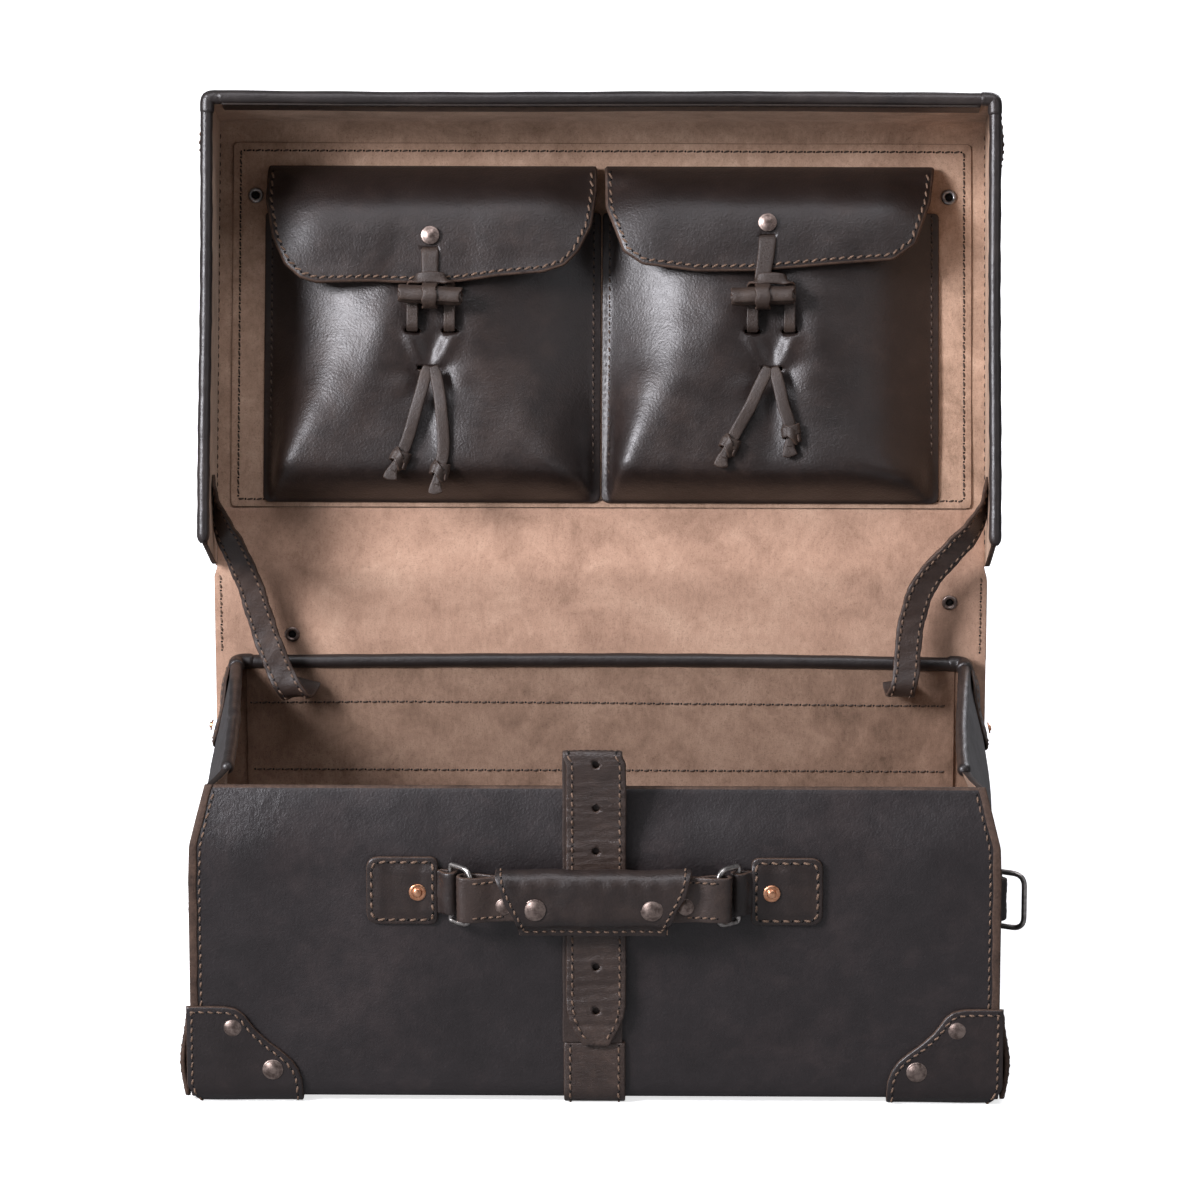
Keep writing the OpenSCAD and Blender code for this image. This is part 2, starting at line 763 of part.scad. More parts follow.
// Outline of the lid from the side, shrunk by g, from a start near the hinge up to the rim
module lid_outline(g = 0, start = 0, top = lid_depth) {
    r = lid_bend_r - g;
    low = -lid_half_t + g;
    polygon([[start, low], [lid_l - g - r, low], [lid_l - g, low + r], [lid_l - g, top], [start, top]]);
    translate([lid_l - g - r, low + r]) circle(r);
}

module lid_rivet_holes() {
    for (x = [-1, 1]) translate([x * (lid_half_w - lid_rivet_in[0]), lid_l - lid_rivet_in[1], 0])
        cylinder(h = 4 * lid_t, r = barrel_r, center = true);
}

module lid_shell() {
    start = lid_half_t + pin_gap + 0.5;
    color(leather) lid_frame() difference() {
        across(2 * lid_wall_in) difference() {
            lid_outline(0, 0);
            lid_outline(lid_t, -far, lid_depth + 10);
            translate([0, 0]) circle(lid_half_t + pin_gap);
            translate([-1, 0]) square([start + 1, lid_t]);
        }
        lid_rivet_holes();
    }
}

module lid_side(right) {
    start = lid_half_t + 2;
    x = right ? lid_wall_in : -lid_wall_in - lid_t;
    color(leather) lid_frame() translate([x + lid_t / 2, 0, 0]) across(lid_t) difference() {
        lid_outline(0, start);
        polygon([[start - 1, 12], [start, 12], [start + 5, lid_depth + 1], [start - 1, lid_depth + 1]]);
    }
}

// Rolled piping along the rim of the lid, fitted over its walls
module lid_piping() {
    front_s = lid_l - lid_t / 2;
    start = lid_half_t + 8;
    color(leather) lid_frame() difference() {
        union() {
            for (x = [-lid_pipe_x, lid_pipe_x]) {
                translate([x, start, lid_depth]) rotate([-90, 0, 0])
                    cylinder(h = front_s - start, r = lid_pipe_r);
                translate([x, start, lid_depth]) sphere(lid_pipe_r);
                translate([x, front_s, lid_depth]) sphere(lid_pipe_r);
            }
            translate([0, front_s, lid_depth]) rotate([0, 90, 0])
                cylinder(h = 2 * lid_pipe_x, r = lid_pipe_r, center = true);
        }
        for (x = [-lid_wall_in - lid_t, lid_wall_in])
            translate([x, 0, 0]) cube([lid_t, lid_l, lid_depth]);
        translate([-lid_half_w, lid_l - lid_t, 0]) cube([2 * lid_half_w, lid_t, lid_depth]);
    }
}

module lid_lining() {
    s = (lining_low + lining_high) / 2;
    color(suede) lid_frame() difference() {
        translate([0, s, lid_half_t]) linear_extrude(lining_t)
            rounded_square(lining_w, lining_high - lining_low, 4);
        lid_rivet_holes();
    }
}

// Corner cap over the bend of the lid, with a lobe on the panel, one on the front wall and one on the side
module lid_cap(right) {
    w = lid_half_w + thin_cap_t;
    front = lid_l + thin_cap_t;
    low = -lid_half_t - thin_cap_t;
    below_pipe = 2 * lid_pipe_r + 1;
    color(leather) lid_frame() mirror([right ? 1 : 0, 0, 0]) intersection() {
        difference() {
            translate([lid_cap_l - w, 0, 0]) across(2 * lid_cap_l)
                lid_outline(-thin_cap_t, 0, lid_depth - below_pipe);
            across(2 * lid_half_w) lid_outline(0, -1, far);
        }
        union() {
            translate([-w, front, low - 1]) mirror([0, 1, 0]) linear_extrude(lid_bend_r)
                cap_outline(lid_cap_l, lid_cap_h);
            translate([-w, front + 1, low]) rotate([90, 0, 0]) linear_extrude(lid_bend_r)
                cap_outline(lid_cap_l, lid_cap_h);
            translate([-w, front, low]) mirror([0, 1, 0])
                across(3 * thin_cap_t) cap_outline(lid_cap_h, lid_cap_h);
        }
    }
}

module lid_rivets() {
    x = lid_half_w + thin_cap_t;
    front = lid_l + thin_cap_t;
    color(steel) lid_frame() for (m = [0, 1]) mirror([m, 0, 0]) {
        translate([-lid_half_w + lid_rivet_in[0], lid_l - lid_rivet_in[1], -lid_half_t]) {
            ring_rivet(lid_t + lining_t);
            translate([0, 0, -thin_cap_t]) rotate([180, 0, 0]) dome(rivet_r, rivet_h);
        }
        translate([-x + 0.73 * lid_cap_l, front - 1.5 * lid_bend_r, -lid_half_t - thin_cap_t])
            rotate([180, 0, 0]) dome(rivet_r, rivet_h);
        translate([-x + 0.4 * lid_cap_l, front, 0.7 * lid_cap_h]) rotate([-90, 0, 0]) dome(rivet_r, rivet_h);
        translate([-x, front - 0.36 * lid_cap_l, 0.66 * lid_cap_h])
            rotate([0, -90, 0]) dome(rivet_r, rivet_h);
    }
}

// One pocket's bulge, shrunk by g: broad at the bottom, narrower at the mouth and beyond it
module pocket_bulge(g) {
    w = pocket_w / 2 - flange_w - g;
    d = pocket_d - g;
    low = pocket_low + flange_w + g;
    past = mouth_s + 20;
    round_r = 10;
    bottom_in = 12;
    mouth_in = 32;
    hull() {
        translate([-w, low, -g]) cube([2 * w, past - low, 1 + g]);
        for (s = [-1, 1]) {
            translate([s * (w - bottom_in), low + bottom_in + 4, d - round_r]) sphere(round_r, $fn = 32);
            translate([s * (w - mouth_in), past - bottom_in, d - round_r]) sphere(round_r, $fn = 32);
        }
    }
}

// Pocket of one skin, open at the top and the back, with its flanges sewn to the lining
module pocket(right) {
    x = (right ? 1 : -1) * pocket_mid;
    color(leather) lid_frame() translate([x, 0, lining_top]) difference() {
        union() {
            intersection() {
                pocket_bulge(0);
                translate([-pocket_w, 0, 0]) cube([2 * pocket_w, mouth_s, 2 * pocket_d]);
            }
            translate([-pocket_w / 2, pocket_low, 0]) cube([pocket_w, mouth_s - pocket_low, pocket_t]);
        }
        pocket_bulge(pocket_t);
    }
}

// Flap over a pocket: sewn along its top, carried out over the mouth and down the front
module pocket_flap(right) {
    x = (right ? 1 : -1) * pocket_mid;
    h = pocket_w / 2 - 1;
    crest = mouth_s + 4;
    corner_x = [0, 14, 34];
    corner_s = [42, 14, 0];
    back = lining_top + pin_gap;
    color(leather) lid_frame() translate([x, 0, 0]) intersection() {
        across(pocket_w)
            polygon([[flap_top, back], [flap_top, back + 1.6 * flap_t], [crest, flap_out],
                [flap_end, flap_out], [flap_end, flap_in], [crest - 1.5, flap_in], [flap_top - 4, back]]);
        linear_extrude(2 * lid_depth)
            polygon(concat([[-h, flap_top + 1]],
                [for (i = [0 : 2]) [-h + corner_x[i], flap_end + corner_s[i]]],
                [for (i = [2 : -1 : 0]) [h - corner_x[i], flap_end + corner_s[i]]],
                [[h, flap_top + 1]]));
    }
}

module flap_rivet(right) {
    x = (right ? 1 : -1) * pocket_mid;
    color(steel) lid_frame() translate([x, tab_top_s - 7, flap_out + tab_t]) dome(flap_rivet_r, rivet_h);
}

// Narrow tab riveted to the flap; its lower end meets the toggle
module tab(right) {
    x = (right ? 1 : -1) * pocket_mid;
    rise = toggle_w - flap_out - tab_t;
    end_s = toggle_s + sqrt(max(1, toggle_r * toggle_r - rise * rise));
    color(brown) lid_frame() translate([x - tab_w / 2, end_s, flap_out])
        cube([tab_w, tab_top_s - end_s, tab_t]);
}

// Toggle rolled from a strip of leather, whose outer turn ends in a step
module toggle(right) {
    x = (right ? 1 : -1) * pocket_mid;
    color(brown) lid_frame() translate([x, toggle_s, toggle_w]) across(toggle_l) difference() {
        union() {
            circle(toggle_r);
            translate([-toggle_r, 0]) square([loop_t, toggle_r * 0.7]);
        }
        circle(0.8);
        for (a = [0 : 60 : 240]) rotate(a) translate([toggle_r * 0.62, 0]) circle(0.45);
    }
}

// Thong loop: two legs out of slits in the pocket, behind the toggle, joined in front of the tab
module pocket_loop(right) {
    x = (right ? 1 : -1) * pocket_mid;
    top_s = flap_end - pin_gap;
    bend_s = toggle_s + toggle_r + pin_gap;
    arch_w = flap_out + tab_t + pin_gap;
    color(brown) lid_frame() translate([x, 0, 0]) {
        for (m = [0, 1]) mirror([m, 0, 0]) {
            translate([loop_x - loop_w / 2, slit_s, pocket_front]) cube([loop_w, top_s - slit_s, loop_t]);
            translate([loop_x - loop_w / 2, bend_s, pocket_front])
                cube([loop_w, top_s - bend_s, arch_w - pocket_front + loop_t]);
        }
        translate([-loop_x, bend_s, arch_w]) cube([2 * loop_x, top_s - bend_s, loop_t]);
    }
}

module thong(path) {
    color(brown) lid_frame() band(path, thong_w, thong_t, [1, 0, 0], [1, 0, 0]);
}

// Frame of the buckle: Z along the lid from its bar, Y away from the outside of the panel
module buckle_place() {
    lid_frame() translate([0, buckle_s, -lid_half_t - neck_r]) rotate([-90, 0, 0]) children();
}

// Belt sewn on the outside of the lid, folded round the bar of the buckle, with a slot for the prong
module buckle_strap() {
    start = 8;
    fold = 10;
    w = belt_w;
    color(brown) difference() {
        union() {
            lid_frame() translate([-w / 2, start, -lid_half_t - lid_belt_t])
                cube([w, buckle_s - start, lid_belt_t]);
            buckle_place() {
                translate([-w / 2, -neck_r, -fold]) cube([w, neck_r, fold]);
                rotate([0, 90, 0]) cylinder(h = w, r = neck_r, center = true);
            }
        }
        buckle_place() {
            rotate([0, 90, 0]) cylinder(h = 2 * w, r = wire_r + pin_gap, center = true);
            translate([-4, 0.5 - neck_r, -4.5]) cube([8, 3 * neck_r, 3 * neck_r]);
        }
    }
}

// Bar through the strap's fold, two arms and a far bar
module buckle_frame() {
    color(steel) buckle_place() {
        for (z = [0, buckle_reach]) translate([0, 0, z]) rotate([0, 90, 0])
            cylinder(h = buckle_w, r = wire_r, center = true);
        for (x = [-buckle_w / 2, buckle_w / 2]) {
            translate([x, 0, 0]) cylinder(h = buckle_reach, r = wire_r);
            for (z = [0, buckle_reach]) translate([x, 0, z]) sphere(wire_r);
        }
    }
}

// Prong with an eye round the bar, its tip resting over the far bar
module buckle_prong() {
    eye_r = wire_r + pin_gap;
    color(steel) buckle_place() {
        rotate([0, 90, 0]) difference() {
            cylinder(h = 5, r = eye_r + 1.4, center = true);
            cylinder(h = 7, r = eye_r, center = true);
        }
        translate([-1.4, eye_r, 0]) cube([2.8, 1.6, buckle_reach + 3]);
    }
}

body_wrap();
end_panel(false);  // end_panel_left
end_panel(true);  // end_panel_right
rear_lining();
base_board();
body_piping();
corner_cap(-1, -1);  // corner_cap_front_left
corner_cap(1, -1);  // corner_cap_front_right
corner_cap(-1, 1);  // corner_cap_rear_left
corner_cap(1, 1);  // corner_cap_rear_right
corner_rivets();
handle_patch(false);  // handle_patch_left
handle_patch(true);  // handle_patch_right
end_patch(false);  // end_patch_left
end_patch(true);  // end_patch_right
copper_rivets();
belt_sewn();
belt_free();
hinge_flap();
hinge_ear(false);  // hinge_ear_left
hinge_ear(true);  // hinge_ear_right
hinge_cap(false);  // hinge_cap_left
hinge_cap(true);  // hinge_cap_right
stay(stay_left_route, -1);  // stay_left
stay(stay_right_route, 1);  // stay_right
handle_strap();
grip_core();
grip_sleeve();
grip_rivets();
handle_ring(false);  // handle_ring_left
handle_ring(true);  // handle_ring_right
end_ring(false, left_ring_turn);  // end_ring_left
end_ring(true, -right_ring_turn);  // end_ring_right
lid_shell();
lid_side(false);  // lid_side_left
lid_side(true);  // lid_side_right
lid_piping();
lid_lining();
lid_cap(false);  // lid_cap_left
lid_cap(true);  // lid_cap_right
lid_rivets();
pocket(false);  // pocket_left
pocket(true);  // pocket_right
pocket_loop(false);  // pocket_loop_left
pocket_loop(true);  // pocket_loop_right
thong(thong_left_a_path);  // thong_left_a
thong(thong_left_b_path);  // thong_left_b
thong(thong_right_a_path);  // thong_right_a
thong(thong_right_b_path);  // thong_right_b
pocket_flap(false);  // pocket_flap_left
pocket_flap(true);  // pocket_flap_right
flap_rivet(false);  // flap_rivet_left
flap_rivet(true);  // flap_rivet_right
tab(false);  // tab_left
tab(true);  // tab_right
toggle(false);  // toggle_left
toggle(true);  // toggle_right
buckle_strap();
buckle_frame();
buckle_prong();
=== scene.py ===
import math
import random

import bmesh
import bpy
import numpy as np
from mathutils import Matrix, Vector
from mathutils.geometry import delaunay_2d_cdt


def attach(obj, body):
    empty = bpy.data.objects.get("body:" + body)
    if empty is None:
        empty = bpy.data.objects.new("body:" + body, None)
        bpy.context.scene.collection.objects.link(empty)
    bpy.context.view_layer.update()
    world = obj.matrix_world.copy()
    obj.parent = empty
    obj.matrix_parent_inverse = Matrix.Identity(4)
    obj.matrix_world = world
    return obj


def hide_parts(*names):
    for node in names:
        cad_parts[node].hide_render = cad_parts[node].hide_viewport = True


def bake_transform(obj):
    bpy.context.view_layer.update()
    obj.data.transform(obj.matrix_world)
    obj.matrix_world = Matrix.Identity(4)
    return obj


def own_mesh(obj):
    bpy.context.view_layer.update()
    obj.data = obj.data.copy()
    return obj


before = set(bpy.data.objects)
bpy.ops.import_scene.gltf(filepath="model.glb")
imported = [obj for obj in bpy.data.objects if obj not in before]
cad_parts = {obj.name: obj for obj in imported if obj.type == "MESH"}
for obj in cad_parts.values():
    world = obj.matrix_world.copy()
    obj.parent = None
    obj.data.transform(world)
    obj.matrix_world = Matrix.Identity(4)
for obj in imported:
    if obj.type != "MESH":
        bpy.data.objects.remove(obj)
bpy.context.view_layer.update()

MM = 0.001
PI = math.pi

# ---------------------------------------------------------------- camera

PITCH = math.radians(15.54)
YAW = math.radians(0.75)
DIST = 4351.7
cam_data = bpy.data.cameras.new("camera")
cam_data.sensor_width = 36.0
cam_data.lens = 6910.6 / 1200 * 36.0
cam_data.clip_end = 50.0
cam = bpy.data.objects.new("camera", cam_data)
bpy.context.scene.collection.objects.link(cam)
bpy.context.scene.camera = cam
view_dir = Vector((-math.sin(YAW) * math.cos(PITCH), math.cos(YAW) * math.cos(PITCH), -math.sin(PITCH)))
target = Vector((1.5, 0.0, 285.8)) * MM
cam.location = target - view_dir * DIST * MM
cam.rotation_euler = view_dir.to_track_quat("-Z", "Y").to_euler()


# ---------------------------------------------------------------- materials

def new_mat(name):
    m = bpy.data.materials.new(name)
    m.use_nodes = True
    nt = m.node_tree
    nt.nodes.clear()
    out = nt.nodes.new("ShaderNodeOutputMaterial")
    b = nt.nodes.new("ShaderNodeBsdfPrincipled")
    nt.links.new(b.outputs[0], out.inputs[0])
    return m, nt, b


def node(nt, kind, inputs=None, **props):
    n = nt.nodes.new(kind)
    for k, v in props.items():
        setattr(n, k, v)
    for k, v in (inputs or {}).items():
        if isinstance(v, bpy.types.NodeSocket):
            nt.links.new(v, n.inputs[k])
        else:
            n.inputs[k].default_value = v
    return n


def coords(nt, scale=None):
    c = node(nt, "ShaderNodeTexCoord").outputs["Object"]
    if scale:
        c = node(nt, "ShaderNodeMapping", {"Vector": c, "Scale": scale}).outputs[0]
    return c


def noise(nt, co, scale, detail=3.0, rough=0.55, distortion=0.0):
    return node(nt, "ShaderNodeTexNoise", {"Vector": co, "Scale": scale, "Detail": detail, "Roughness": rough,
                                           "Distortion": distortion}).outputs[0]


def ramp(nt, fac, stops):
    r = node(nt, "ShaderNodeValToRGB", {0: fac})
    el = r.color_ramp.elements
    while len(el) < len(stops):
        el.new(0.5)
    for e, (p, c) in zip(el, stops):
        e.position = p
        e.color = (*c, 1.0) if len(c) == 3 else c
    return r.outputs[0]


def maths(nt, op, a, b=None, c=None):
    ins = {0: a}
    if b is not None:
        ins[1] = b
    if c is not None:
        ins[2] = c
    return node(nt, "ShaderNodeMath", ins, operation=op).outputs[0]


def mix(nt, fac, a, b, mode="MIX"):
    n = node(nt, "ShaderNodeMix", data_type="RGBA", blend_type=mode)
    for i, v in ((0, fac), (6, a), (7, b)):
        if isinstance(v, bpy.types.NodeSocket):
            nt.links.new(v, n.inputs[i])
        else:
            n.inputs[i].default_value = v if i == 0 else (*v, 1.0)
    return n.outputs[2]


def remap(nt, v, a, b, c, d):
    return node(nt, "ShaderNodeMapRange", {"Value": v, "From Min": a, "From Max": b, "To Min": c, "To Max": d}).outputs[0]


def leather(name, dark, mid, light, rough=0.42, grain=1.0, stretch=None, crease=0.0, spots=0.35, coat=0.10, creased=None):
    """Waxed pull-up leather: cloudy colour, lighter rubbed marks, fine pores and soft creases."""
    m, nt, b = new_mat(name)
    co = coords(nt)
    cloud = noise(nt, co, 11, 4, 0.6, 0.4)
    mott = noise(nt, co, 62, 5, 0.65)
    pores = noise(nt, co, 620, 3, 0.6)
    v = maths(nt, "MULTIPLY_ADD", mott, 0.45, maths(nt, "MULTIPLY", cloud, 0.62))
    col = ramp(nt, v, [(0.32, dark), (0.55, mid), (0.78, light)])
    rub = ramp(nt, noise(nt, co, 27, 7, 0.72, 0.9), [(0.56, (0, 0, 0)), (0.74, (1, 1, 1))])
    col = mix(nt, maths(nt, "MULTIPLY", rub, spots), col, light)
    col = mix(nt, maths(nt, "MULTIPLY", pores, 0.35), col, tuple(c * 0.45 for c in dark))
    nt.links.new(col, b.inputs["Base Color"])
    streak = noise(nt, coords(nt, stretch or (14, 14, 60)), 3.2, 6, 0.7)
    r = maths(nt, "MULTIPLY_ADD", streak, 0.16, maths(nt, "MULTIPLY_ADD", mott, 0.14, rough - 0.15))
    nt.links.new(r, b.inputs["Roughness"])
    vor = node(nt, "ShaderNodeTexVoronoi", {"Vector": co, "Scale": 780.0}, feature="SMOOTH_F1").outputs[0]
    h = maths(nt, "MULTIPLY_ADD", vor, 0.35 * grain, maths(nt, "MULTIPLY", pores, 0.55 * grain))
    h = maths(nt, "MULTIPLY_ADD", noise(nt, co, 140, 4, 0.6), 0.8, h)
    if crease:
        folds = noise(nt, coords(nt, stretch), 5.0, 4, 0.62, 1.2)
        ridge = maths(nt, "ABSOLUTE", maths(nt, "SUBTRACT", folds, 0.5))
        if creased:
            # only round one place (x, y, z and reach in metres)
            away = node(nt, "ShaderNodeVectorMath", {0: coords(nt), 1: creased[:3]}, operation="DISTANCE").outputs["Value"]
            ridge = maths(nt, "MULTIPLY", ridge, remap(nt, away, creased[3] * 0.5, creased[3], 1.0, 0.0))
        h = maths(nt, "MULTIPLY_ADD", maths(nt, "POWER", ridge, 0.6), crease, h)
    bump = node(nt, "ShaderNodeBump", {"Strength": 0.35, "Distance": 0.0009, "Height": h})
    nt.links.new(bump.outputs[0], b.inputs["Normal"])
    b.inputs["Specular IOR Level"].default_value = 0.5
    b.inputs["Coat Weight"].default_value = coat
    b.inputs["Coat Roughness"].default_value = 0.38
    return m


def raw_edge(name, dark, light):
    """Cut edge of thick leather: fibrous, rubbed lighter and burnished in places."""
    m, nt, b = new_mat(name)
    co = coords(nt)
    f = noise(nt, co, 420, 5, 0.7)
    p = noise(nt, co, 55, 4, 0.6)
    col = ramp(nt, maths(nt, "MULTIPLY_ADD", f, 0.5, maths(nt, "MULTIPLY", p, 0.5)), [(0.35, dark), (0.68, light)])
    nt.links.new(col, b.inputs["Base Color"])
    b.inputs["Roughness"].default_value = 0.72
    b.inputs["Specular IOR Level"].default_value = 0.35
    bump = node(nt, "ShaderNodeBump", {"Strength": 0.6, "Distance": 0.0007, "Height": f})
    nt.links.new(bump.outputs[0], b.inputs["Normal"])
    return m


def suede(name, dark, mid, light, nap=1.0):
    """Flesh side of the leather: matt, clouded, with short streaks of nap."""
    m, nt, b = new_mat(name)
    co = coords(nt)
    cloud = noise(nt, co, 7.5, 5, 0.62, 0.7)
    patch = noise(nt, co, 38, 6, 0.7, 0.5)
    fibre = noise(nt, coords(nt, (260, 260, 90)), 1.6, 6, 0.75)
    v = maths(nt, "MULTIPLY_ADD", patch, 0.42, maths(nt, "MULTIPLY", cloud, 0.42))
    v = maths(nt, "MULTIPLY_ADD", fibre, 0.22, v)
    col = ramp(nt, v, [(0.38, dark), (0.53, mid), (0.68, light)])
    speck = ramp(nt, noise(nt, co, 900, 3, 0.7), [(0.33, (1, 1, 1)), (0.47, (0, 0, 0))])
    col = mix(nt, maths(nt, "MULTIPLY", speck, 0.4), col, tuple(c * 0.62 for c in dark))
    nt.links.new(col, b.inputs["Base Color"])
    b.inputs["Roughness"].default_value = 0.93
    b.inputs["Specular IOR Level"].default_value = 0.15
    b.inputs["Sheen Weight"].default_value = 0.25
    b.inputs["Sheen Roughness"].default_value = 0.5
    b.inputs["Sheen Tint"].default_value = (0.85, 0.72, 0.6, 1)
    h = maths(nt, "MULTIPLY_ADD", fibre, 0.8, maths(nt, "MULTIPLY", noise(nt, co, 1300, 4, 0.7), 0.7))
    bump = node(nt, "ShaderNodeBump", {"Strength": 0.5 * nap, "Distance": 0.0006, "Height": h})
    nt.links.new(bump.outputs[0], b.inputs["Normal"])
    return m


def metal(name, dark, light, rough=0.32, scratch=0.5):
    m, nt, b = new_mat(name)
    co = coords(nt)
    tone = noise(nt, co, 230, 5, 0.7)
    col = ramp(nt, tone, [(0.38, dark), (0.62, light)])
    nt.links.new(col, b.inputs["Base Color"])
    b.inputs["Metallic"].default_value = 1.0
    fine = noise(nt, coords(nt, (900, 2600, 900)), 1.0, 3, 0.6)
    nt.links.new(maths(nt, "MULTIPLY_ADD", fine, 0.2, maths(nt, "MULTIPLY_ADD", tone, 0.16, rough - 0.16)),
                 b.inputs["Roughness"])
    bump = node(nt, "ShaderNodeBump", {"Strength": 0.25 * scratch, "Distance": 0.0002, "Height": fine})
    nt.links.new(bump.outputs[0], b.inputs["Normal"])
    return m


def thread_mat(name, dark, light):
    m, nt, b = new_mat(name)
    co = coords(nt)
    col = ramp(nt, noise(nt, co, 640, 4, 0.7), [(0.35, dark), (0.66, light)])
    nt.links.new(col, b.inputs["Base Color"])
    b.inputs["Roughness"].default_value = 0.7
    w = node(nt, "ShaderNodeTexWave", {"Vector": co, "Scale": 900.0, "Distortion": 2.0}).outputs[0]
    bump = node(nt, "ShaderNodeBump", {"Strength": 0.5, "Distance": 0.0003, "Height": w})
    nt.links.new(bump.outputs[0], b.inputs["Normal"])
    return m


LEATHER = leather("leather_dark", (0.0085, 0.0058, 0.0056), (0.0150, 0.0100, 0.0097), (0.036, 0.0230, 0.0208), 0.44)
PANEL = leather("leather_panel", (0.0085, 0.0060, 0.0063), (0.0145, 0.0102, 0.0107), (0.032, 0.0218, 0.0212), 0.47,
                crease=1.2, stretch=(60, 60, 26), spots=0.7, coat=0.22, creased=(-0.215, -0.13, 0.186, 0.034))
POCKET = leather("leather_pocket", (0.0095, 0.0062, 0.0053), (0.0180, 0.0114, 0.0097), (0.040, 0.0250, 0.0198), 0.41,
                 spots=0.35, coat=0.10)
PIPE = leather("leather_pipe", (0.011, 0.0080, 0.0076), (0.019, 0.0142, 0.0132), (0.042, 0.031, 0.0275), 0.40)
BROWN = leather("leather_brown", (0.0210, 0.0128, 0.0100), (0.041, 0.0260, 0.0205), (0.086, 0.055, 0.042), 0.46,
                crease=0.7, stretch=(26, 26, 120), spots=0.55)
BELT = leather("leather_belt", (0.020, 0.0124, 0.0098), (0.044, 0.0280, 0.0220), (0.105, 0.068, 0.052), 0.40,
               crease=2.0, stretch=(20, 20, 105), spots=0.6)
THONG = leather("leather_thong", (0.0195, 0.0120, 0.0090), (0.036, 0.0228, 0.0170), (0.076, 0.050, 0.036), 0.52,
                crease=0.5, stretch=(60, 60, 160), spots=0.6, coat=0.0)
EDGE = raw_edge("leather_edge", (0.026, 0.0145, 0.0100), (0.098, 0.058, 0.040))
EDGE_DARK = raw_edge("leather_edge_dark", (0.009, 0.0065, 0.0055), (0.030, 0.0190, 0.0140))
SUEDE = suede("suede_tan", (0.220, 0.139, 0.094), (0.430, 0.284, 0.202), (0.61, 0.425, 0.312))
# Suede of the body's inside: suede_tan at about half its brightness, painted shade where the case's walls keep the
# light off.
SUEDE_PAINTED_SHADE = suede("suede_inner_painted_shade", (0.110, 0.068, 0.046), (0.225, 0.142, 0.099), (0.33, 0.222, 0.160))
SUEDE_FLAP = suede("suede_flap", (0.262, 0.157, 0.108), (0.440, 0.275, 0.195), (0.575, 0.385, 0.279))
THREAD = thread_mat("thread_brown", (0.085, 0.050, 0.032), (0.225, 0.142, 0.094))
THREAD_DARK = thread_mat("thread_dark", (0.030, 0.018, 0.012), (0.085, 0.053, 0.036))
# Near-black, for the discs in stitch holes and rivet hollows: painted shade of the holes.
PIT_PAINTED_SHADE = raw_edge("stitch_hole_painted_shade", (0.0025, 0.0018, 0.0015), (0.006, 0.0042, 0.0035))
STEEL = metal("steel_antique", (0.15, 0.112, 0.098), (0.36, 0.285, 0.250), 0.40)
RING = metal("steel_ring", (0.24, 0.225, 0.215), (0.50, 0.475, 0.45), 0.30)
EYELET = metal("steel_eyelet", (0.20, 0.195, 0.195), (0.46, 0.44, 0.43), 0.34)
COPPER = metal("copper_hammered", (0.62, 0.27, 0.145), (0.90, 0.50, 0.31), 0.30, 1.2)


# ---------------------------------------------------------------- mesh helpers

def add(name, verts, faces, mats, idx=None, body="case", smooth=True):
    me = bpy.data.meshes.new(name)
    me.from_pydata([tuple(v) for v in verts], [], [list(map(int, f)) for f in faces])
    for m in (mats if isinstance(mats, (list, tuple)) else [mats]):
        me.materials.append(m)
    if idx is not None:
        me.polygons.foreach_set("material_index", np.asarray(idx, dtype=np.int32))
    if smooth:
        me.polygons.foreach_set("use_smooth", np.ones(len(me.polygons), dtype=bool))
    bm = bmesh.new()
    bm.from_mesh(me)
    bmesh.ops.recalc_face_normals(bm, faces=bm.faces)
    bm.to_mesh(me)
    bm.free()
    me.update()
    o = bpy.data.objects.new(name, me)
    bpy.context.scene.collection.objects.link(o)
    if body:
        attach(o, body)
    return o


class Mesh:
    """Collects vertices, faces and material numbers of several shapes."""

    def __init__(self):
        self.v, self.f, self.m, self.n = [], [], [], 0

    def put(self, verts, faces, mat=0):
        verts = np.asarray(verts, dtype=float)
        self.v.append(verts)
        self.f += [[i + self.n for i in f] for f in faces]
        self.m += [mat] * len(faces) if isinstance(mat, int) else list(mat)
        self.n += len(verts)

    def make(self, name, mats, body="case", slot=None):
        return add(name, np.concatenate(self.v), self.f, mats, self.m, body)


def wob(x, y, seed, scale, amount=1.0):
    """Smooth pseudo-random height over a plane; scale is the size of its swells in mm."""
    rnd = random.Random(seed)
    out = 0.0
    for k in range(6):
        a = rnd.uniform(0, 2 * PI)
        q = 2 * PI / scale * rnd.uniform(0.6, 1.5)
        out = out + np.sin((x * math.cos(a) + y * math.sin(a)) * q + rnd.uniform(0, 6.3))
    return out * (amount / 2.6)


def smooth(t):
    t = np.clip(t, 0, 1)
    return t * t * (3 - 2 * t)


def resample(pts, step, closed=False):
    p = np.asarray(pts, dtype=float)
    if closed:
        p = np.vstack([p, p[:1]])
    d = np.r_[0, np.cumsum(np.linalg.norm(np.diff(p, axis=0), axis=1))]
    n = max(2, int(round(d[-1] / step)))
    t = np.linspace(0, d[-1], n + 1)
    if closed:
        t = t[:-1]
    return np.stack([np.interp(t, d, p[:, k]) for k in range(p.shape[1])], 1)


